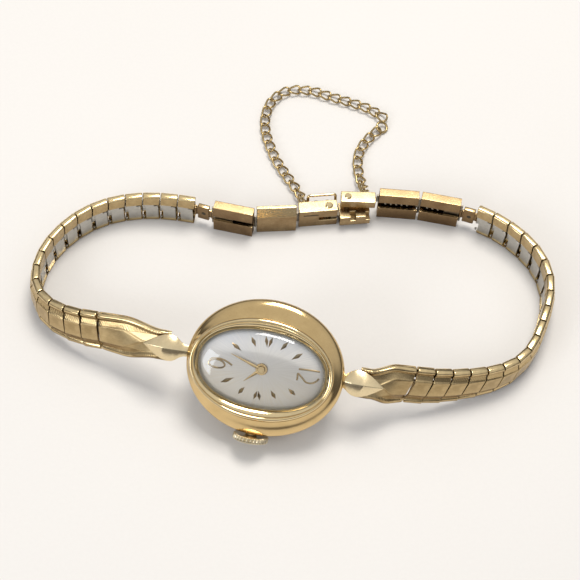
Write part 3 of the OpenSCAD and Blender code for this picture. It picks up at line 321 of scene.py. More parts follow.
def floorPaint():
    paint = Paint("floor")
    cloud = paint.noise(0.02, detail=3)
    fibre = paint.noise(2.2, detail=3)
    share = (cloud * 0.6 + fibre * 0.4).clamped()
    colour = paint.colours(share, (0.73, 0.715, 0.695), (0.80, 0.785, 0.765))
    return paint.finish(colour, 0.0, 0.85, Normal=paint.bump(fibre, 0.15, 0.05))


# Painted shade: a near-black finish on thin pieces that stand in for the shaded inside of a groove and of a
# hole
def paintedSlotShade():
    paint = Paint("paintedSlotShade")
    colour = paint.colours(paint.noise(4), (0.03, 0.02, 0.01), (0.08, 0.06, 0.03))
    return paint.finish(colour, 0.0, 0.8)


gold = {name: metal(name) for name in metals}
gold["linkGold"] = linkMetal()
gold["dialSilver"] = dialSilver()
gold["crystal"] = clearCrystal()
gold["floor"] = floorPaint()
gold["paintedSlotShade"] = paintedSlotShade()
print("finishes made:", len(gold))


# Mesh helpers: every solid is made in mm in its piece's own axes
def loft(rings, closed=False, capped=True):
    count = len(rings[0])
    points = [p for ring in rings for p in ring]
    faces = []
    for j in range(len(rings) if closed else len(rings) - 1):
        here, there = j * count, (j + 1) % len(rings) * count
        for i in range(count):
            after = (i + 1) % count
            faces.append((here + i, here + after, there + after, there + i))
    if capped and not closed:
        faces.append(tuple(range(count - 1, -1, -1)))
        faces.append(tuple(range(len(points) - count, len(points))))
    return points, faces


def prism(outline, low, high):
    rings = [[(x, y, level) for x, y in outline] for level in (low, high)]
    return loft(rings)


def circle(count, radius=1.0):
    angles = [2 * math.pi * k / count for k in range(count)]
    return [(radius * math.cos(angle), radius * math.sin(angle)) for angle in angles]


def oval(length, width, power, count=160, middle=(0, 0), z=0.0):
    found = []
    for c, s in circle(count):
        x = length / 2 * math.copysign(abs(c) ** (2 / power), c)
        y = width / 2 * math.copysign(abs(s) ** (2 / power), s)
        found.append((x + middle[0], y + middle[1], z))
    return found


def roundedPath(points, radius, steps=3, closed=False):
    found = []
    last = len(points) - 1
    for i, p in enumerate(points):
        here = np.array(p, float)
        if not closed and i in (0, last):
            found.append(tuple(here))
            continue
        before = np.array(points[i - 1], float) - here
        after = np.array(points[(i + 1) % len(points)], float) - here
        reach = min(radius, 0.45 * np.linalg.norm(before), 0.45 * np.linalg.norm(after))
        start = here + before / np.linalg.norm(before) * reach
        end = here + after / np.linalg.norm(after) * reach
        for k in range(steps + 1):
            t = k / steps
            found.append(tuple(start * (1 - t) ** 2 + here * 2 * t * (1 - t) + end * t * t))
    return found


def curvePoint(rows, i, u):
    # A smooth curve through the rows of numbers: the point at u between row i and the next
    last = len(rows) - 1
    a, b, c, d = rows[max(i - 1, 0)], rows[i], rows[i + 1], rows[min(i + 2, last)]
    bend, twist = 2 * a - 5 * b + 4 * c - d, 3 * b - 3 * c + d - a
    return 0.5 * (2 * b + (c - a) * u + bend * u * u + twist * u ** 3)


def throughPoints(points, steps):
    rows = np.array(points, float)
    found = [curvePoint(rows, i, k / steps) for i in range(len(rows) - 1) for k in range(steps)]
    return found + [rows[-1]]


def tube(path, radius, sides=10, closed=False):
    # A round wire along a path, with its section carried along without twisting
    rows = [Vector(p) for p in path]
    count = len(rows)
    rings = []
    across = None
    for i, here in enumerate(rows):
        before = rows[(i - 1) % count] if closed or i else here
        after = rows[(i + 1) % count] if closed or i < count - 1 else here
        along = (after - before).normalized()
        if across is None:
            across = along.orthogonal().normalized()
        across = (across - along * across.dot(along)).normalized()
        other = along.cross(across)
        rings.append([tuple(here + (across * c + other * s) * radius) for c, s in circle(sides)])
    if not closed:
        return loft(rings)
    first, last = [Vector(p) for p in rings[0]], [Vector(p) for p in rings[-1]]

    def stretch(s):
        return sum((first[(k + s) % sides] - last[k]).length for k in range(sides))

    shift = min(range(sides), key=stretch)
    points, faces = loft(rings, capped=False)
    base = (count - 1) * sides
    for k in range(sides):
        n = (k + 1) % sides
        faces.append((base + k, base + n, (n + shift) % sides, (k + shift) % sides))
    return points, faces


def solid(points, faces, bevel=0.0, steps=2, sharp=30, place=None):
    shape = bmesh.new()
    corners = [shape.verts.new(Vector(p) * mm) for p in points]
    for face in faces:
        shape.faces.new([corners[i] for i in face])
    bmesh.ops.remove_doubles(shape, verts=shape.verts, dist=1e-7)
    bmesh.ops.recalc_face_normals(shape, faces=shape.faces)
    if bevel:
        least = math.radians(sharp)
        edges = [e for e in shape.edges if len(e.link_faces) == 2 and e.calc_face_angle(0) > least]
        bmesh.ops.bevel(shape, geom=edges, offset=bevel * mm, segments=steps, profile=0.5, affect="EDGES")
    if place is not None:
        shape.transform(place)
    return shape


def block(low, high, bevel=0.05, place=None):
    outline = [(low[0], low[1]), (high[0], low[1]), (high[0], high[1]), (low[0], high[1])]
    return solid(*prism(outline, low[2], high[2]), bevel=bevel, place=place)


def rod(start, end, radius, bevel=0.03, sides=28):
    a, b = Vector(start), Vector(end)
    along = (b - a).normalized()
    across = along.orthogonal().normalized()
    other = along.cross(across)
    rings = []
    step = along * bevel
    for here, r in ((a, radius - bevel), (a + step, radius), (b - step, radius), (b, radius - bevel)):
        rings.append([tuple(here + (across * c + other * s) * r) for c, s in circle(sides)])
    return solid(*loft(rings))


def piece(name, shapes, body, place=None, stands=(), flat=True, sharp=40):
    # Joins (solid, finish) pairs into one object that rides on a body and stands for CAD nodes
    finishes = []
    mesh = bpy.data.meshes.new(name)
    whole = bmesh.new()
    for shape, finish in shapes:
        if finish not in finishes:
            finishes.append(finish)
        for face in shape.faces:
            face.material_index = finishes.index(finish)
            face.smooth = True
        shape.to_mesh(mesh)
        whole.from_mesh(mesh)
        shape.free()
    whole.to_mesh(mesh)
    whole.free()
    mesh.set_sharp_from_angle(angle=math.radians(sharp))
    for finish in finishes:
        mesh.materials.append(gold[finish])
    made = bpy.data.objects.new(name, mesh)
    bpy.context.scene.collection.objects.link(made)
    made.matrix_world = place or Matrix.Identity(4)
    if flat:
        weighted = made.modifiers.new("evenFaces", "WEIGHTED_NORMAL")
        weighted.keep_sharp = True
        weighted.weight = 90
    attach(made, body)
    if stands:
        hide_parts(*stands)
    return made


# Case: an oval shell with soft shoulders, and a faceted spade lug at each end
case = {
    "power": 2.0,
    "middle": (0.35, 0.05),
    "bezel": (17.5, 12.4),
    "rim": 0.12,
    "settle": 0.6,
    "lip": (16.2, 11.2, 0.6),
    "cavityPower": 2.35,
    "cavity": (17.0, 12.6),
    "cavityStep": 0.5,
    "plateBack": 2.6,
    "backDepth": 4.4,
    "lugReach": 12.3,
    "lugOffset": 0.25,
    "hingeDrop": 2.75,
    "lugLevel": 1.75,
    "knuckleRadius": 0.6,
    "knuckleHalf": 0.85,
    "barHalf": 1.7,
    "barRadius": 0.3,
    "flank": [(17.4, 13.9, 4.4), (18.4, 15.4, 3.5), (19.1, 16.4, 2.3), (19.25, 16.7, 1.45),
              (19.05, 16.35, 1.0), (18.55, 15.25, 0.66), (18.0, 13.7, 0.38), (17.55, 12.5, 0.12)],
    "lug": [(8.9, 0.66, 0.26, 0.45), (9.7, 0.74, 0.34, 0.5), (10.2, 0.98, 0.46, 0.56),
            (10.65, 1.36, 0.6, 0.6), (11.1, 1.6, 0.7, 0.62), (11.7, 1.68, 0.74, 0.6), (12.4, 1.54, 0.7, 0.55),
            (13.1, 1.22, 0.6, 0.45), (13.8, 0.78, 0.42, 0.3), (14.4, 0.36, 0.24, 0.18),
            (14.8, 0.06, 0.1, 0.1)],
}


def caseShell():
    rings = []
    for length, width, depth in throughPoints(case["flank"], 5):
        share = min(1, (depth - case["rim"]) / case["settle"])
        middle = [share * m for m in case["middle"]]
        rings.append(oval(length, width, case["power"], middle=middle, z=-depth))
    length, width, lipDepth = case["lip"]
    for depth in (case["rim"], lipDepth):
        rings.append(oval(length, width, case["power"], z=-depth))
    length, width = case["cavity"]
    step, plateBack = case["cavityStep"], case["plateBack"]
    for inset, depth in ((0, lipDepth), (0, plateBack), (step, plateBack), (step, case["backDepth"])):
        rings.append(oval(length - inset, width - inset, case["cavityPower"], z=-depth))
    return solid(*loft(rings, closed=True))


def lugHood(side):
    rings = []
    for x, half, ridge, under in case["lug"]:
        section = [(half, 0), (half * 0.96, 0.05), (0.04, ridge), (-0.04, ridge), (-half * 0.96, 0.05),
                   (-half, 0), (-half * 0.6, -under), (half * 0.6, -under)]
        rings.append([(side * x, y + case["lugOffset"], z - case["lugLevel"]) for y, z in section])
    return solid(*loft(rings), bevel=0.035, steps=2, sharp=24)


def lugKnuckle(side):
    radius = case["knuckleRadius"]
    angles = [math.pi + math.pi * k / 18 for k in range(19)]
    outline = [(radius * math.cos(angle), radius * math.sin(angle)) for angle in angles]
    outline += [(0.5, 0.75), (-0.5, 0.75)]
    place = moved(side * case["lugReach"], case["lugOffset"], -case["hingeDrop"]) @ turned(90, "X")
    return solid(*prism(outline, -case["knuckleHalf"], case["knuckleHalf"]), bevel=0.04, place=place)


def stemTube():
    seat = watch["crownSeat"]
    return rod((0, -seat + 0.9, -watch["stemDrop"]), (0, -seat + 0.08, -watch["stemDrop"]), 0.75)


shapes = [(caseShell(), "caseGold"), (stemTube(), "caseGold")]
for side in (-1, 1):
    shapes += [(lugHood(side), "lugGold"), (lugKnuckle(side), "caseGold")]
piece("caseBody", shapes, "case", onCase, ["case_body"], flat=False)
bars = []
for side in (-1, 1):
    x, y, z = side * case["lugReach"], case["lugOffset"], -case["hingeDrop"]
    bar = rod((x, y - case["barHalf"], z), (x, y + case["barHalf"], z), case["barRadius"])
    bars.append((bar, "steel"))
piece("springBars", bars, "case", onCase, ["spring_bars"])

# Bezel: rounded crest, a fine groove, and a broad slope down to the crystal
bezel = {
    "opening": (15.45, 9.5),
    "openingPower": 2.15,
    "under": (16.2, 11.2),
    "profile": [(0, -0.10), (0, 0.06), (0.05, 0.19), (0.12, 0.27), (0.2, 0.3), (0.28, 0.28), (0.335, 0.21),
                (0.36, 0.15), (0.385, 0.17), (0.43, 0.2), (0.55, 0.16), (0.72, 0.02), (0.88, -0.14),
                (0.96, -0.24), (1, -0.32), (1, -0.63)],
}


def bezelRing():
    outerLength, outerWidth = case["bezel"]
    innerLength, innerWidth = bezel["opening"]
    rings = []
    for u, z in bezel["profile"]:
        power = mixed(case["power"], bezel["openingPower"], u)
        rings.append(oval(mixed(outerLength, innerLength, u), mixed(outerWidth, innerWidth, u), power, z=z))
    for u, z in (bezel["profile"][-1], bezel["profile"][0]):
        rings.append(oval(*bezel["under"], case["power"], z=z))
    return solid(*loft(rings, closed=True))


shapes = [(bezelRing(), "bezelGold")]
piece("bezelRing", shapes, "case", onCase, ["bezel"], flat=False, sharp=50)

# Crystal: a low dome with a rolled edge
crystal = {
    "length": 15.41,
    "width": 9.46,
    "dome": [(1, -0.61), (1, -0.25), (0.997, -0.1), (0.985, 0.08), (0.96, 0.22), (0.92, 0.36), (0.86, 0.5),
             (0.78, 0.61), (0.68, 0.7), (0.55, 0.79), (0.4, 0.85), (0.24, 0.885), (0.1, 0.9)],
}


def crystalDome():
    rings = []
    for share, z in crystal["dome"]:
        rings.append(oval(crystal["length"] * share, crystal["width"] * share, bezel["openingPower"], z=z))
    points, faces = loft(rings, capped=False)
    faces.append(tuple(range(len(points) - len(rings[0]), len(points))))
    return solid(points, faces)


shapes = [(crystalDome(), "crystal")]
piece("crystalDome", shapes, "case", onCase, ["crystal"], flat=False, sharp=60)

# Case back: a shallow pressed lid, as length, width and depth under the top of the case
back = [(14, 10.5, 5.08), (15.4, 11.9, 5.04), (16.3, 12.9, 4.94), (16.85, 13.4, 4.8), (17.2, 13.75, 4.6),
        (17.35, 13.9, 4.5), (17.35, 13.9, 4.42)]


def caseBack():
    rings = [oval(length, width, case["power"], z=-depth) for length, width, depth in back]
    return solid(*loft(rings))


piece("caseBack", [(caseBack(), "backSteel")], "case", onCase, ["case_back"], sharp=50)
print("case made")

# Dial: a silvered plate with a sunk edge ring, raised markers, and the numbers 12 and 6
dial = {
    "length": 16.6,
    "width": 12.2,
    "faceWidth": 10.2,
    "facePower": 2.2,
    "faceFrom": 0.95,
    "top": -0.65,
    "levels": [(1.0, -0.30), (1.0, -0.03), (0.93, -0.012), (0.925, -0.03), (0.915, -0.03), (0.91, -0.006),
               (0.8, 0), (0.4, 0), (0.1, 0)],
    "markers": [((-2.74, 1.7), (-4.11, 2.55)), ((-1.12, 2.5), (-1.86, 3.7)), ((1.76, 2.62), (2.64, 3.88)),
                ((3.25, 1.8), (4.61, 2.83)), ((3.5, -1.67), (4.6, -2.42)), ((1.5, -2.3), (2.3, -3.3)),
                ((-1.6, -2.5), (-2.35, -3.55)), ((-3.02, -1.63), (-4.72, -2.55))],
    "markerWidth": 0.56,
    "markerFoot": -0.02,
    "markerEnd": 0.05,
    "markerRidge": 0.14,
    "shields": [(0.27, 2.66, 4.15, 1.15), (0.02, -2.66, -3.85, 1.05)],
    "shieldLeaf": 0.46,
    "sixBowl": (-5.45, -0.33, 0.98, 0.5),
    "sixTail": [(-6.3, -0.1), (-6.1, 0.16), (-5.5, 0.32), (-4.7, 0.26), (-4.0, 0.0), (-3.6, -0.22)],
    "one": [(4.4, 0.86), (5.6, 0.95), (6.95, 1.0)],
    "two": [(6.95, 0.15), (6.75, -0.2), (6.2, -0.56), (5.5, -0.56), (4.95, -0.1), (4.4, 0.3), (4.4, -0.1),
            (4.4, -0.52)],
    "strokeRadius": 0.11,
    "strokeLevel": 0.02,
}


def dialPlate():
    rings = []
    for share, z in dial["levels"]:
        edge = share > dial["faceFrom"]
        power = case["cavityPower"] if edge else dial["facePower"]
        width = dial["width"] if edge else dial["faceWidth"]
        rings.append(oval(dial["length"] * share, width * share, power, z=dial["top"] + z))
    return solid(*loft(rings))


def marker(inner, outer, width):
    # A leaf with one long ridge, its inner end the wider
    a, b = np.array(inner), np.array(outer)
    along = (b - a) / np.linalg.norm(b - a)
    across = np.array((-along[1], along[0])) * width / 2
    middle = a + (b - a) * 0.55
    inset = (b - a) * 0.06
    base, end, ridge = [dial["top"] + dial[key] for key in ("markerFoot", "markerEnd", "markerRidge")]
    points = [(*a, base), (*(middle + across), base), (*b, base), (*(middle - across), base)]
    points += [(*(a + inset), end), (*middle, ridge), (*(b - inset), end)]
    return solid(points, [(0, 1, 5, 4), (1, 2, 6, 5), (2, 3, 5, 6), (3, 0, 4, 5), (0, 3, 2, 1)])


def shield(x, inner, outer, width):
    # A split wedge: two leaves that meet at their inner ends
    shapes = []
    for side in (-1, 1):
        ends = (x + side * 0.06, inner), (x + side * (width / 2 - 0.14), outer)
        shapes.append(marker(*ends, dial["shieldLeaf"]))
    return shapes


def stroke(points):
    rows = throughPoints([(x, y, dial["top"] + dial["strokeLevel"]) for x, y in points], 6)
    return solid(*tube(rows, dial["strokeRadius"], 8))


def dialNumbers():
    x, y, wide, high = dial["sixBowl"]
    level = dial["top"] + dial["strokeLevel"]
    bowl = [(x + wide * c * (1 - 0.12 * s), y + high * s, level) for c, s in circle(36)]
    shapes = [solid(*tube(bowl, dial["strokeRadius"], 8, closed=True))]
    return shapes + [stroke(dial[key]) for key in ("sixTail", "one", "two")]


raised = [marker(inner, outer, dial["markerWidth"]) for inner, outer in dial["markers"]]
for row in dial["shields"]:
    raised += shield(*row)
raised += dialNumbers()
shapes = [(dialPlate(), "dialSilver")] + [(shape, "markerGold") for shape in raised]
piece("dialPlate", shapes, "case", onCase, ["dial"], flat=False, sharp=25)

# Hands: ridged blades on round hubs, standing at 4:33. A blade is its length, width, level and turn
hands = {
    "minute": {"blade": (4.1, 0.34, -0.28, 6 * 33), "hub": (-0.3, -0.1, 0.46, 0.07)},
    "hour": {"blade": (2.6, 0.42, -0.52, 30 * (4 + 33 / 60)), "hub": (-0.53, -0.4, 0.72, 0.05)},
    "post": (-1.5, -0.3, 0.3, 0.03),
    "thick": 0.1,
}


def handBlade(length, width, low, angle):
    outline = [(-0.55, 0), (-0.2, width / 2), (length * 0.3, width / 2), (length, 0.03), (length, -0.03),
               (length * 0.3, -width / 2), (-0.2, -width / 2)]
    top = low + hands["thick"]
    points = [(x, y, low) for x, y in outline] + [(x, y, low + 0.02) for x, y in outline]
    points += [(-0.4, 0, top), (length * 0.97, 0, top - 0.03)]
    count = len(outline)
    faces = [tuple(range(count - 1, -1, -1))]
    faces += [(i, (i + 1) % count, count + (i + 1) % count, count + i) for i in range(count)]
    back, tip = 2 * count, 2 * count + 1
    slopes = [(0, 1, back), (1, 2, tip, back), (2, 3, tip), (3, 4, tip), (4, 5, tip), (5, 6, back, tip),
              (6, 0, back)]
    faces += [tuple(corner + count if corner < count else corner for corner in slope) for slope in slopes]
    return solid(points, faces, place=turned(-angle, "Z"))


def spindle(low, high, radius, bevel):
    return rod((0, 0, low), (0, 0, high), radius, bevel)


minute = [(handBlade(*hands["minute"]["blade"]), "handGold"), (spindle(*hands["minute"]["hub"]), "handGold"),
          (spindle(*hands["post"]), "gilt")]
piece("minuteHand", minute, "minute_hand", onCase, ["minute_hand"], sharp=20)
hour = [(handBlade(*hands["hour"]["blade"]), "handGold"), (spindle(*hands["hour"]["hub"]), "handGold")]
piece("hourHand", hour, "hour_hand", onCase, ["hour_hand"], sharp=20)
print("dial and hands made")

# Crown: rounded flutes and a low domed end
crown = {
    "flutes": 28,
    "depth": 0.2,
    "profile": [(0, 0.86), (0.0, 0.93), (0.07, 0.98), (0.12, 1), (0.6, 1), (0.68, 0.975), (0.74, 0.9),
                (0.78, 0.78), (0.8, 0.6), (0.8, 0.3), (0.8, 0.05)],
}


def crownWheel():
    rings = []
    count = crown["flutes"] * 8
    for z, share in crown["profile"]:
        ring = []
        for k in range(count):
            angle = 2 * math.pi * k / count
            wave = abs(math.sin(crown["flutes"] * angle / 2)) ** 0.8
            cut = crown["depth"] * (1 - wave) * min(max((share - 0.85) / 0.13, 0), 1)
            r = (watch["crownRadius"] - cut) * share
            ring.append((r * math.cos(angle), r * math.sin(angle), z))
        rings.append(ring)
    return solid(*loft(rings))


crownPlace = onCase @ moved(0, -watch["crownSeat"], -watch["stemDrop"]) @ turned(90, "X")
shapes = [(crownWheel(), "crownGold")]
piece("crownWheel", shapes, "winding_stem", crownPlace, ["crown"], flat=False, sharp=50)
print("crown made")

# Bracelet: each half's lay, worked out from the turn of every joint
band = {
    "pitch": 2.35,
    "width": 5.3,
    "thick": 1.3,
    "gap": 0.12,
    "wall": 0.25,
    "upperFold": 1.7,
    "lowerFold": 0.45,
    "loweringLinks": 10.5,
    "loweringPower": 1.6,
    "endPieceLinks": 3.4,
    "lugHeight": 7.3,
    "wave": 0.07,
    "left": {
        "start": (-23.1, -17.9), "heading": 167, "slant": 0.12,
        "turns": [6, 9, 15, 20, 20, 15, 12, 11, 9, 10, 10, 10, 8, 7, 6, 4]},
    "right": {
        "start": (15.6, -22), "heading": 6, "slant": 0.3,
        "turns": [5, 4, 3, 5, 10, 14, 14, 9, 3, 5, 11, 15, 14, 12, 10, 8, 8]},
}


def ramp(i):
    return max(0, min(1, 1 - (i + band["endPieceLinks"]) / band["loweringLinks"])) ** band["loweringPower"]


def jointHeight(i):
    return mixed(band["width"] / 2, band["lugHeight"], ramp(i))


def widthAxis(heading, side, i):
    turn, lean = toRadians(heading, (90 - watch["tilt"]) * ramp(i))
    out = side * math.sin(lean)
    return Vector((-out * math.sin(turn), out * math.cos(turn), math.cos(lean)))


def layBand(half, side):
    headings = [half["heading"]]
    for turn in half["turns"]:
        headings.append(headings[-1] + side * turn)
    places = [Vector((*half["start"], jointHeight(0)))]
    for i, heading in enumerate(headings):
        rise = jointHeight(i + 1) - jointHeight(i)
        run = math.sqrt(band["pitch"] ** 2 - rise ** 2)
        angle, = toRadians(heading)
        places.append(places[-1] + Vector((run * math.cos(angle), run * math.sin(angle), rise)))
    last = len(headings) - 1
    axes = []
    for i in range(len(places)):
        middle = (headings[max(i - 1, 0)] + headings[min(i, last)]) / 2
        axes.append(widthAxis(middle, side, i))
    return headings, places, axes


def linkAxes(places, axes, side, i):
    i = max(0, min(i, len(places) - 2))
    x = (places[i + 1] - places[i]).normalized() * side
    z = x.cross(axes[i] + axes[i + 1]).normalized()
    return x, z.cross(x), z


def linkPlace(places, axes, side, i):
    start = places[i] if side > 0 else places[i + 1]
    turn = Matrix(linkAxes(places, axes, side, i)).transposed().to_4x4()
    return tableShift @ moved(*start) @ turn


# A seam lies half way between the directions of its two links
def seamFace(here, there):
    middle = (here[0] + there[0]).normalized()
    return [middle.dot(axis) for axis in here]


def coverPath(half, t):
    wall = band["wall"]
    border = [(half - 0.15, -t), (half, -t * 0.6), (half, t * 0.15), (half - 0.2, t * 0.58),
              (half - 0.5, t * 0.64), (half - 0.8, t * 0.38), (half * 0.47, t * 0.77), (half * 0.4, t)]
    upper, lower = half - band["upperFold"], band["lowerFold"] - half
    outer = [(upper, -t)] + border + [(-y, z) for y, z in reversed(border)] + [(lower, -t)]
    shell = [(half - wall - 0.1, wall - t), (half - wall, 0), (half - 1, t * 0.38 - wall),
             (half * 0.45, t - wall - 0.1)]
    inner = [(upper, wall - t)] + shell + [(-y, z) for y, z in reversed(shell)] + [(lower, wall - t)]
    return roundedPath(outer, 0.1, 3), inner[::-1]


def pathNormals(path):
    rows = np.array(path)
    along = np.gradient(rows, axis=0)
    along /= np.linalg.norm(along, axis=1)[:, None] + 1e-9
    normals = np.stack([along[:, 1], -along[:, 0]], axis=1)
    return normals if normals[len(path) // 2][1] >= 0 else -normals


# A seam's distance from square at y: a slant and a slight S
def seamShift(y, slant):
    half = band["width"] / 2
    return slant * y / half + band["wave"] * math.sin(math.pi * y / half)


# Rings of a cover: which end, the distance from it, and how far the outside is rounded off there
coverRings = [(0, 0.0, 0.08), (0, 0.02, 0.035), (0, 0.06, 0.01), (0, 0.12, 0),
              (1, -0.12, 0), (1, -0.06, 0.01), (1, -0.02, 0.035), (1, 0.0, 0.08)]


def linkCover(leftFace, rightFace, slant):
    path, inner = coverPath(band["width"] / 2, band["thick"] / 2)
    normals = pathNormals(path)
    gap = band["gap"] / 2

    def seam(face, y, z):
        return seamShift(y, slant) - (face[1] * y + face[2] * z) / face[0]

    rings = []
    for end, shift, inset in coverRings:
        ring = []
        for k, (y, z) in enumerate(list(path) + inner):
            if k < len(path):
                y -= normals[k][0] * inset
                z -= normals[k][1] * inset
            start = gap + seam(leftFace, y, z)
            finish = band["pitch"] - gap + seam(rightFace, y, z)
            ring.append((mixed(start, finish, end) + shift, y, z))
        rings.append(ring)
    return solid(*loft(rings))


# Inside of a link: the plate's start, notch and end as shares of the pitch, and sizes across it
inside = {"plate": (0.13, 0.36, 0.84), "notch": 0.75, "tab": 0.12, "wire": 0.15, "wireEnd": 1.4, "dot": 0.14}


def linkInside():
    # Inner plate with a notched corner, its curled tab, the hinge wire and its tongue
    half, pitch = band["width"] / 2, band["pitch"]
    low = band["wall"] - band["thick"] / 2
    start, notchEnd, end = [pitch * share for share in inside["plate"]]
    bottom = band["wall"] + 0.1 - half
    top = half - band["upperFold"] + 0.2
    notch = top - inside["notch"]
    outline = [(start, bottom), (end, bottom), (end, top), (notchEnd, top), (notchEnd, notch), (start, notch)]
    tab, dot, wireEnd = inside["tab"], inside["dot"], half - inside["wireEnd"]
    tabY, tabZ = notch + 0.1, low - 0.08
    shapes = [
        solid(*prism(outline, low - 0.12, low + 0.15), bevel=0.05),
        rod((pitch * 0.14, tabY, tabZ), (pitch * 0.34, tabY, tabZ), tab, sides=12),
        rod((pitch, -wireEnd, 0), (pitch, wireEnd, 0), inside["wire"], sides=14),
        block((pitch * 0.8, -0.7, low), (pitch, 0.7, low + 0.2), 0.03),
    ]
    for y in (notch + 0.25, bottom + 0.35):
        x, z = pitch * 0.95, low - 0.02
        shapes.append(rod((x, y - dot, z), (x, y + dot, z), dot, sides=12))
    return shapes


def makeLinks(name, side, nodeStem):
    half = band[name]
    headings, places, axes = layBand(half, side)
    for i in range(len(headings)):
        pair = f"{nodeStem}_{i // 2 + 1}"
        here, before, after = [linkAxes(places, axes, side, i + step) for step in (0, -side, side)]
        cover = linkCover(seamFace(here, before), seamFace(here, after), half["slant"] * side)
        shapes = [(cover, "linkGold")]
        shapes += [(shape, "linkSteel") for shape in linkInside()]
        place = linkPlace(places, axes, side, i)
        piece(f"link{name.capitalize()}{i + 1:02d}", shapes, pair, place, [pair], sharp=32)
    return headings, places, axes


leftLay = makeLinks("left", -1, "links_left")
rightLay = makeLinks("right", 1, "links_right")
print("links made:", len(leftLay[0]) + len(rightLay[0]))

# End pieces: the band's section carried on to the lug, its raised middle drawn to a point
endPiece = {
    "hingeReach": 0.75,
    "stations": 15,
    "pointAt": 0.26,
    "openedOver": 0.32,
    "slotHalf": 0.91,
    "hingeShare": 0.7,
    "fullAt": 0.6,
    "stop": 0.2,
    "nose": [(-0.55, 0.56), (-0.45, 0.62), (-0.25, 0.82), (0.0, 0.92), (0.45, 0.92)],
    "roundOff": [(0.06, 0.012), (0.02, 0.03), (0, 0.07)],
}


def endPlaces(side, places, axes):
    reach = side * (case["lugReach"] + endPiece["hingeReach"])
    near = casePoint(reach, case["lugOffset"], -case["hingeDrop"])
    link = linkPlace(places, axes, side, 0)
    linkX = Vector(link.col[0][:3])
    linkY = Vector(link.col[1][:3])
    far = places[0] + (tableShift.to_translation() / mm) - linkX * side * endPiece["stop"]
    caseX = Vector(onCase.col[0][:3])
    caseY = Vector(onCase.col[1][:3])
    return near, far, caseX, caseY, linkX, linkY


def endOutline(t):
    # Section at t from the hinge, 0, to the first link, 1
    widening = min(t / endPiece["fullAt"], 1)
    half = band["width"] / 2 * mixed(endPiece["hingeShare"], 1, widening * widening * (3 - 2 * widening))
    h = band["thick"] / 2
    opened = max(0, min(1, (t - endPiece["pointAt"]) / endPiece["openedOver"]))
    middle = max(half * 0.4 * opened, 0.02)
    top = mixed(h * 0.8, h, opened)
    rim = h * mixed(0.72, 0.64, opened)
    valley = h * mixed(0.5, 0.38, opened)
    outer = [(half - 0.15, -h), (half, -h * 0.6), (half, h * 0.15), (half - 0.2, rim - 0.03),
             (half - 0.5, rim), (half - 0.8, valley), (middle + half * 0.07, top * 0.8), (middle, top)]
    outer += [(-y, z) for y, z in reversed(outer)]
    return roundedPath(outer, 0.08, 3, closed=True)


def endPieceShape(side, places, axes):
    near, far, caseX, caseY, linkX, linkY = endPlaces(side, places, axes)
    slant = band["left" if side < 0 else "right"]["slant"] * side
    up = caseX.cross(caseY).normalized()
    rings = []
    for reach, share in endPiece["nose"]:
        here = near + caseX * side * (reach - endPiece["hingeReach"])
        rings.append([tuple(here + caseY * y + up * min(z * share, 0.6 * share)) for y, z in endOutline(0)])
    count = endPiece["stations"]
    rows = [(k / count, 0, 0) for k in range(count)]
    for t, short, inset in rows + [(1, *row) for row in endPiece["roundOff"]]:
        x = caseX.lerp(linkX, t).normalized()
        w = caseY.lerp(linkY, t).normalized()
        up = x.cross(w).normalized()
        here = near.lerp(far, t) - linkX * side * short
        outline = endOutline(t)
        ring = []
        for (y, z), (ny, nz) in zip(outline, pathNormals(outline)):
            shift = x * seamShift(y, slant) * t ** 3
            ring.append(tuple(here + w * (y - ny * inset) + up * (z - nz * inset) + shift))
        rings.append(ring)
    return rings


def makeEndPiece(name, side, node, lay):
    places, axes = lay[1:]
    shape = solid(*loft(endPieceShape(side, places, axes)))
    across = endPiece["slotHalf"]
    cutter = block((-1.2, -across, -2), (case["knuckleRadius"] + 0.1, across, 2), 0)
    turn = Matrix.Identity(4) if side > 0 else turned(180, "Z")
    cutter.transform(onCase @ moved(side * case["lugReach"], case["lugOffset"], -case["hingeDrop"]) @ turn)
    made = piece(name, [(shape, "linkGold")], node, None, [node], sharp=30, flat=False)
    knife = bpy.data.meshes.new("slotCutter")
    cutter.to_mesh(knife)
    cutter.free()
    knifeObject = bpy.data.objects.new("slotCutter", knife)
    bpy.context.scene.collection.objects.link(knifeObject)
    slot = made.modifiers.new("slot", "BOOLEAN")
    slot.object = knifeObject
    slot.operation = "DIFFERENCE"
    bpy.context.view_layer.update()
    seen = made.evaluated_get(bpy.context.evaluated_depsgraph_get())
    cut = bpy.data.meshes.new_from_object(seen)
    made.modifiers.remove(slot)
    made.data = cut
    bpy.data.objects.remove(knifeObject)
    local = linkPlace(places, axes, side, 0)
    cut.transform(local.inverted())
    cut.set_sharp_from_angle(angle=math.radians(30))
    made.matrix_world = local
    return made


makeEndPiece("endPieceLeft", -1, "end_piece_left", leftLay)
makeEndPiece("endPieceRight", 1, "end_piece_right", rightLay)
print("end pieces made")

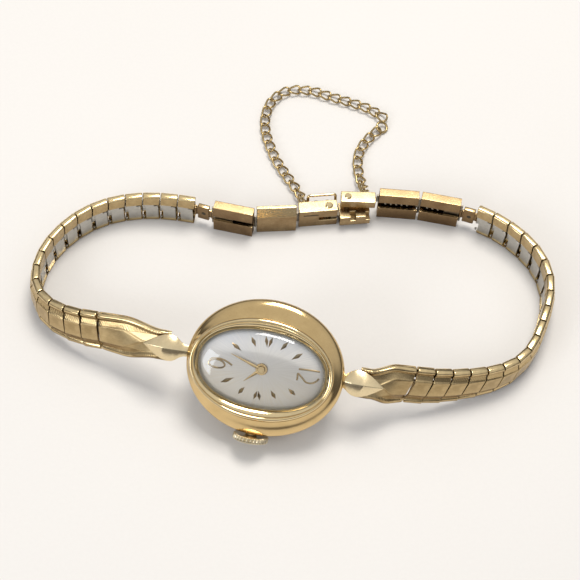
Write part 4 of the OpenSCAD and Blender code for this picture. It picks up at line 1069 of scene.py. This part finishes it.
# Clasp: two bars and a snap block on the left, a catch block and two bars on the right
clasp = {
    "barLength": 5,
    "barDepth": 1.3,
    "barHeight": 5.2,
    "barWall": 0.32,
    "barGap": 0.32,
    "overhang": 0.14,
    "lips": (1.75, 2.25),
    "leftLips": (2.0, 2.3),
    "pinRadius": 0.16,
    "boxHeight": 4.4,
    "boxBevel": 0.95,
    "turns": {"leftBar": -8, "leftMiddle": 8, "block": 10.5, "rivet": 10.5, "catch": 3, "rightMiddle": 0,
              "rightBar": -7},
    "blockHeight": 3.5,
    "blockDepth": 1.7,
    "blockFront": 0.4,
    "blockLength": 5.05,
    "slot": (1.25, 1.95),
    "slotFrom": 2.58,
    "rivet": (4.25, 0.45),
    "plate": (0.7, 2.5, 2.7, 4.1),
    "plateFront": -1.55,
    "catchLevel": 3.2,
    "catchThick": 1.4,
    "catchLength": 4.6,
    "catchFront": 0.35,
    "springWire": 0.13,
    "springRadius": 0.36,
    "springPitch": 0.72,
    "springLevel": 2.95,
}
gap = clasp["barGap"]
pinStep = clasp["barLength"] + 2 * gap


def along(heading, x, y):
    turn, = toRadians(heading)
    return Vector((x * math.cos(turn) - y * math.sin(turn), x * math.sin(turn) + y * math.cos(turn), 0))


def atPin(pin, heading):
    return tableShift @ moved(pin.x, pin.y, 0) @ turned(heading, "Z")


# Hinge pins, worked out from the last link on each side. A row gives a known pin, the next one, the
# direction, and the step along and across
leftEnd = leftLay[1][-1]
rightEnd = rightLay[1][-1]
pins = {"leftBar": leftEnd + Vector((2.4, -0.55, 0)), "rightBar": rightEnd + Vector((-2.4, 0.55, 0))}
pinRows = [
    ("leftBar", "leftMiddle", 1, (pinStep, 0.5)),
    ("leftMiddle", "block", 1, (pinStep, 0.6)),
    ("rightBar", "rightMiddle", -1, (pinStep, 0)),
    ("rightMiddle", "catch", -1, (pinStep, 0.2)),
    ("block", "rivet", 1, clasp["rivet"]),
]
for before, after, side, step in pinRows:
    pins[after] = pins[before] + along(clasp["turns"][before], *step) * side


def claspPiece(name, pin, shapes, node, shift=(0, 0, 0), flat=True):
    place = atPin(pins[pin], clasp["turns"][pin]) @ moved(*shift)
    return piece(name, shapes, node, place, [node], flat=flat)


def barSolid(outline, x, y, bevel, steps):
    # A section drawn across a bar and carried along its length
    turn = Matrix(((0, 0, 1, 0), (1, 0, 0, 0), (0, 1, 0, 0), (0, 0, 0, 1)))
    place = moved(x - clasp["overhang"], y, 0) @ turn
    length = clasp["barLength"] + 2 * clasp["overhang"]
    return solid(*prism(outline, 0, length), bevel=bevel, steps=steps, place=place)


def channel(x, upperLip, lowerLip):
    # Bent sheet with an open front: a back, two flanges, and a lip down or up from each
    h, d, wall = clasp["barHeight"], clasp["barDepth"], clasp["barWall"]
    outline = [(0, 0.06), (0.06, 0), (d - 0.12, 0), (d, 0.12), (d, h - 0.12), (d - 0.12, h), (0.06, h),
               (0, h - 0.06), (0, h - upperLip), (wall, h - upperLip), (wall, h - wall), (d - wall, h - wall),
               (d - wall, wall), (wall, wall), (wall, lowerLip), (0, lowerLip)]
    return barSolid(outline, x, -d / 2, 0.05, 2)


def spring(curls):
    x = 0.45 - pinStep + gap
    radius, level = clasp["springRadius"], clasp["springLevel"]
    path = []
    for k in range(curls * 16 + 1):
        angle = 2 * math.pi * k / 16
        y, z = 0.05 + radius * math.cos(angle), level + radius * math.sin(angle)
        path.append((x + clasp["springPitch"] * k / 16, y, z))
    return solid(*tube(path, clasp["springWire"], 8))


def pin(x, low, high):
    return rod((x, 0, low), (x, 0, high), clasp["pinRadius"], sides=16)


def boxBar():
    h, slope = clasp["boxHeight"], clasp["boxBevel"]
    outline = [(-0.35, 0), (0.95, 0), (0.95, h), (0.5, h), (-0.35, h - slope)]
    return barSolid(outline, gap, 0, 0.07, 3)


claspPiece("barLeftOuter", "leftBar", [
    (channel(gap, *clasp["leftLips"]), "barGold"),
    (block((0.1, -0.25, 1.2), (2.7, 0.1, 3.8)), "steel"),
    (pin(0, 0.9, 4.4), "steel"),
    (block((0.05, -0.12, 3.4), (0.45, 0.12, 3.7), 0.03), "steel"),
], "clasp_bar_left_outer")
claspPiece("barLeftInner", "leftMiddle", [
    (boxBar(), "claspGold"),
    (pin(0, 1, 3.4), "steel"),
    (block((0.05, 0, 2), (0.45, 0.2, 2.5), 0.03), "steel"),
], "clasp_bar_left_inner")

# Wire of the safety chain, and the rings that hold it. Slack is how far a ring's middle lies behind its block
chainWire = {"radius": 0.14, "length": 2.1, "width": 1.5, "anchor": 0.5, "slack": 0.14, "play": 0.07}
blockRear = clasp["blockDepth"] - clasp["blockFront"]
catchRear = clasp["blockDepth"] / 2 - clasp["catchFront"]
blockAnchor = Vector((1, blockRear + chainWire["slack"], 2.9))
catchAnchor = Vector((-1.7, catchRear + chainWire["slack"], clasp["catchLevel"] + 0.5))


def anchorRing(at):
    path = [(at.x, at.y + c, at.z + s) for c, s in circle(28, chainWire["anchor"])]
    return solid(*tube(path, chainWire["radius"], 10, closed=True))


guard = {"radius": 0.2, "reach": 1.35, "lean": -18, "left": 1.6, "right": 5.3, "level": 2.5}
guardBack = blockRear + guard["radius"] + 0.05


def snapBlock():
    length, depth, height = clasp["blockLength"], clasp["blockDepth"], clasp["blockHeight"]
    low, high = clasp["slot"]
    left, inner = -clasp["overhang"], clasp["slotFrom"]
    side = [(left, 0), (length, 0), (length, low), (inner, low), (inner, high), (length, high),
            (length, height), (left, height)]
    turn = Matrix(((1, 0, 0, 0), (0, 0, -1, 0), (0, 1, 0, 0), (0, 0, 0, 1)))
    body = solid(*prism(side, 0, depth), bevel=0.09, steps=3, place=moved(gap, blockRear, 0) @ turn)
    x, y = clasp["rivet"]
    shapes = [
        (body, "claspGold"),
        (rod((x, y, height - 0.05), (x, y, height + 0.18), 0.5, bevel=0.1), "bezelGold"),
        (rod((x, y, low), (x, y, high), 0.3), "steel"),
        # Painted shade: a thin near-black strip on the front face in place of a cut groove
        (block((0.8, -0.43, 2.5), (2.8, -0.37, 2.68), 0.01), "paintedSlotShade"),
        (pin(0, 1, 3), "steel"),
        (block((0.05, -0.1, 1.8), (0.45, 0.1, 2.3), 0.03), "steel"),
        (anchorRing(blockAnchor), "chainGold"),
    ]
    for x in (guard["left"] + 0.9, guard["right"] - 1.3):
        start, end = (x, guardBack, guard["level"]), (x + 0.4, guardBack, guard["level"])
        shapes.append((rod(start, end, guard["radius"] + 0.2), "claspGold"))
    return shapes


def snapPlate():
    low, high, depth, length = clasp["plate"]
    start = clasp["blockLength"] + gap - clasp["rivet"][0] + 0.25
    end = start + length
    front = clasp["plateFront"]
    rear = front + depth - 0.2
    slotLow = clasp["slot"][0] + 0.1
    lower = [(start, front), (end, front), (end, rear), (start, rear)]
    upper = [(start, front), (start + 1.4, front), (start + 1.4, front + 1), (start + 2.15, front + 1),
             (start + 2.15, front), (end - 0.6, front), (end - 0.6, front + 0.8), (end, front + 0.8),
             (end, rear), (start, rear)]
    return [
        (solid(*prism(lower, low, 1.65), bevel=0.06), "claspGold"),
        (solid(*prism(upper, 1.6, high), bevel=0.06), "claspGold"),
        (block((0.3, -0.6, slotLow), (start + 0.1, 0.6, slotLow + 0.5), 0.04), "steel"),
        (block((-0.5, -0.5, slotLow), (-0.34, 0.5, slotLow + 0.5), 0.04), "steel"),
    ]


def guardWire():
    lean, = toRadians(guard["lean"])
    topY, topZ = -math.sin(lean) * guard["reach"], math.cos(lean) * guard["reach"]
    left, right = guard["left"], guard["right"]
    corners = [(left, 0, 0), (left, topY, topZ), (right, topY, topZ), (right, 0, 0)]
    path = roundedPath(corners, 0.32, 5, closed=True)
    return solid(*tube(path, guard["radius"] * 0.95, 10, closed=True))


def catchBlock():
    length, thick, level = clasp["catchLength"], clasp["catchThick"], clasp["catchLevel"]
    front = -clasp["blockDepth"] / 2 - clasp["catchFront"]
    x, y, top = -gap - length, -0.35, level + thick
    stud = x + 0.95
    return [
        (block((x, front, level), (x + length, front + clasp["blockDepth"], top), 0.12), "claspGold"),
        (rod((stud, y, top - 0.05), (stud, y, top + 0.16), 0.45, bevel=0.1), "bezelGold"),
        (rod((stud, y, 2.6), (stud, y, level + 0.02), 0.35), "steel"),
        (pin(0, level, top), "steel"),
        (block((-0.45, -0.1, level + 0.4), (-0.05, 0.1, level + 0.9), 0.03), "steel"),
        (anchorRing(catchAnchor), "chainGold"),
    ]


claspPiece("snapBlock", "block", snapBlock(), "snap_block")
claspPiece("snapPlate", "rivet", snapPlate(), "snap_plate")
bail = [(guardWire(), "bezelGold")]
claspPiece("claspGuard", "block", bail, "clasp_guard", (0, guardBack, guard["level"]), False)
claspPiece("catchBlock", "catch", catchBlock(), "catch_block")
claspPiece("barRightInner", "rightMiddle", [
    (channel(gap - pinStep, *clasp["lips"]), "barGold"),
    (pin(0, 1, 4.2), "steel"),
    (block((-0.45, -0.1, 2.2), (-0.05, 0.1, 2.7), 0.03), "steel"),
    (spring(5), "steel"),
], "clasp_bar_right_inner")
claspPiece("barRightOuter", "rightBar", [
    (channel(gap - pinStep, *clasp["lips"]), "barGold"),
    (pin(0, 0.9, 4.4), "steel"),
    (block((-2.2, -0.15, 1.2), (-0.1, 0.15, 3.8)), "steel"),
    (spring(3), "steel"),
], "clasp_bar_right_outer")


def steelEnd(name, start, end, body):
    # Steel end link between the last gold link and the clasp; its round hole is a near-black rod across it,
    # painted shade rather than a cut hole
    span = (end - start).xy.length
    turn = math.degrees(math.atan2(end.y - start.y, end.x - start.x))
    middle = band["width"] / 2
    place = atPin(start, turn)
    low, high = (0.4, -0.3, middle - 1.4), (span - 0.5, 0.3, middle + 1.4)
    holeShade = rod((span / 2, -0.33, middle), (span / 2, 0.33, middle), 0.3)
    shapes = [(block(low, high, 0.1), "barGold"), (holeShade, "paintedSlotShade")]
    shapes.append((block((0.05, -0.13, middle - 0.8), (span - 0.05, 0.13, middle + 0.8), 0.03), "barGold"))
    for x in (0, span):
        shapes.append((rod((x, 0, middle - 0.8), (x, 0, middle + 0.8), 0.26), "barGold"))
    return piece(name, shapes, body, place)


steelEnd("steelEndLeft", leftEnd, pins["leftBar"], "links_left_9")
steelEnd("steelEndRight", pins["rightBar"], rightEnd, "links_right_9")
print("clasp made")

# Safety chain: twisted wire links. The long part lies on the table and the short part comes down to it
chain = {
    "long": [(0.7, 6.5, 1.3), (0.1, 8.1, 0.6), (-1.85, 10.9, 0.6), (-3.25, 13.1, 0.6), (-4.3, 15.4, 0.6),
             (-5.1, 17.9, 0.6), (-5.3, 20.5, 0.6), (-4.6, 23.2, 0.6), (-2.6, 25.2, 0.6), (0.6, 25.6, 0.6),
             (3.7, 24.8, 0.6), (7.1, 23.9, 0.6), (9.2, 23.15, 0.6), (10.9, 22.1, 0.6)],
    "short": [(8.9, 7.7, 2.8), (8.8, 9.2, 1.6), (8.5, 10.7, 0.8), (8.1, 12.5, 0.6), (7.96, 14.5, 0.6),
              (8.4, 16.4, 0.6), (9.5, 18.3, 0.6), (10.7, 19.6, 0.6), (12, 20.5, 0.6)],
    "longLinks": 26,
    "shortLinks": 10,
    "level": 0.6,
    "twist": 42,
    "startRoll": 45,
    "flatFrom": 4,
    "walk": 0.004,
    "ring": (0.75, 0.17, 25),
}
chainReach = chainWire["length"] / 2 - chainWire["radius"]
chainPitch = chainWire["length"] - 4 * chainWire["radius"] - chainWire["play"]


def onCurve(points, t):
    i = max(0, min(len(points) - 2, math.floor(t)))
    q = curvePoint(points, i, t - i)
    return Vector((q[0], q[1], max(q[2], chain["level"])))


def chainPlaces(points, count):
    points = [np.array(p, float) for p in points]
    found = [Vector(points[0])]
    t, step = 0.0, chainReach
    while len(found) <= count:
        while t <= len(points) - 1 and (onCurve(points, t) - found[-1]).length < step:
            t += chain["walk"]
        found.append(onCurve(points, t))
        step = chainPitch
    return found[1:]


def chainLoop(twist):
    # An oval loop whose plane turns along it, so that its two ends stand square to each other
    radius = chainWire["width"] / 2 - chainWire["radius"]
    straight = (chainWire["length"] - chainWire["width"]) / 2
    path = []
    for side in (1, -1):
        for k in range(13):
            angle = -math.pi / 2 + math.pi * k / 12
            x, y = side * (straight + radius * math.cos(angle)), side * radius * math.sin(angle)
            turn, = toRadians(twist * x / (straight + radius))
            path.append((x, y * math.cos(turn), y * math.sin(turn)))
    return tube(path, chainWire["radius"], 10, closed=True)


def rolled(at, direction, roll):
    rise = -math.degrees(math.atan2(direction.z, direction.xy.length))
    yaw = math.degrees(math.atan2(direction.y, direction.x))
    return moved(*at) @ turned(yaw, "Z") @ turned(rise, "Y") @ turned(roll, "X")


def makeChain(name, lay, count, start, node, ring=False):
    places = chainPlaces([start] + lay, count)
    shapes = []
    for k, at in enumerate(places):
        toward = places[0] - start if k == 0 else places[min(k + 1, count - 1)] - places[k - 1]
        roll = chain["startRoll"] * max(0, 1 - k / chain["flatFrom"])
        shapes.append((solid(*chainLoop(chain["twist"]), place=rolled(at, toward, roll)), "chainGold"))
    if ring:
        size, wire, roll = chain["ring"]
        reach = chainReach - chainWire["radius"] - wire - chainWire["play"] / 2 + size
        path = [(c, s, 0) for c, s in circle(32, size)]
        place = rolled(places[-1], places[-1] - places[-2], roll) @ moved(reach, 0, 0)
        shapes.append((solid(*tube(path, wire, 10, closed=True), place=place), "chainGold"))
    return piece(name, shapes, node, tableShift, [node], flat=False, sharp=60)


def chainStart(name, anchor):
    foot = Vector((pins[name].x, pins[name].y, 0))
    out = along(clasp["turns"][name], anchor.x, anchor.y + chainWire["slack"])
    return foot + out + Vector((0, 0, anchor.z))


longStart = chainStart("block", blockAnchor)
shortStart = chainStart("catch", catchAnchor)
makeChain("chainLong", chain["long"], chain["longLinks"], longStart, "safety_chain_long")
makeChain("chainShort", chain["short"], chain["shortLinks"], shortStart, "safety_chain_short", ring=True)
print("chain made")

# Movement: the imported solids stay, in their own finishes
movement = {
    "gilt": ["main_plate", "barrel_bridge", "train_bridge", "balance_cock", "barrel", "centre_wheel",
             "third_wheel", "fourth_wheel", "hour_wheel", "minute_wheel", "balance_wheel"],
    "backSteel": ["winding_stem", "winding_pinion", "crown_wheel", "ratchet_wheel", "escape_wheel",
                  "pallet_fork"],
    "blued": ["bridge_screws", "mainspring", "hairspring"],
}
for finish, names in movement.items():
    for name in names:
        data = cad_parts[name].data
        data.materials.clear()
        data.materials.append(gold[finish])
print("movement finished")

# Studio: a pale floor, a sky that is dark at the horizon and bright overhead, and two lamps
studio = {
    "floorSize": 8,
    "sky": [(0.5, (0.14, 0.13, 0.13)), (0.66, (0.24, 0.24, 0.25)), (0.8, (0.8, 0.8, 0.82)),
            (1, (1.0, 0.99, 0.97))],
    "skyStrength": 0.74,
    "lamps": {
        "keyLamp": {"at": (0.03, 0.10, 0.34), "size": 0.14, "watts": 0.85, "hue": (1, 0.95, 0.88)},
        "fillLamp": {"at": (-0.25, -0.25, 0.22), "size": 0.16, "watts": 0.4, "hue": (0.95, 0.97, 1)},
    },
}


def makeFloor():
    side = studio["floorSize"] / 2
    mesh = bpy.data.meshes.new("floor")
    corners = [(-side, -side, 0), (side, -side, 0), (side, side, 0), (-side, side, 0)]
    mesh.from_pydata(corners, [], [(0, 1, 2, 3)])
    mesh.materials.append(gold["floor"])
    floor = bpy.data.objects.new("floor", mesh)
    bpy.context.scene.collection.objects.link(floor)


def makeSky():
    world = bpy.data.worlds.new("sky")
    world.use_nodes = True
    bpy.context.scene.world = world
    tree = world.node_tree
    sky = tree.nodes["Background"]
    sky.inputs["Strength"].default_value = studio["skyStrength"]
    coordinates = tree.nodes.new("ShaderNodeTexCoord")
    split = tree.nodes.new("ShaderNodeSeparateXYZ")
    height = tree.nodes.new("ShaderNodeMath")
    height.operation = "MULTIPLY_ADD"
    height.inputs[1].default_value = 0.5
    height.inputs[2].default_value = 0.5
    ramp = tree.nodes.new("ShaderNodeValToRGB")
    elements = ramp.color_ramp.elements
    while len(elements) < len(studio["sky"]):
        elements.new(0.5)
    for element, (place, colour) in zip(elements, studio["sky"]):
        element.position = place
        element.color = (*colour, 1)
    tree.links.new(coordinates.outputs["Generated"], split.inputs[0])
    tree.links.new(split.outputs["Z"], height.inputs[0])
    tree.links.new(height.outputs[0], ramp.inputs[0])
    tree.links.new(ramp.outputs[0], sky.inputs["Color"])


def makeLamp(name, lamp):
    light = bpy.data.lights.new(name, "AREA")
    light.size = lamp["size"]
    light.energy = lamp["watts"]
    light.color = lamp["hue"]
    made = bpy.data.objects.new(name, light)
    bpy.context.scene.collection.objects.link(made)
    aim = (-Vector(lamp["at"])).to_track_quat("-Z", "Y").to_matrix().to_4x4()
    made.matrix_world = Matrix.Translation(lamp["at"]) @ aim


makeFloor()
makeSky()
for name, lamp in studio["lamps"].items():
    makeLamp(name, lamp)
bpy.context.scene.view_settings.view_transform = "Standard"
print("studio made")
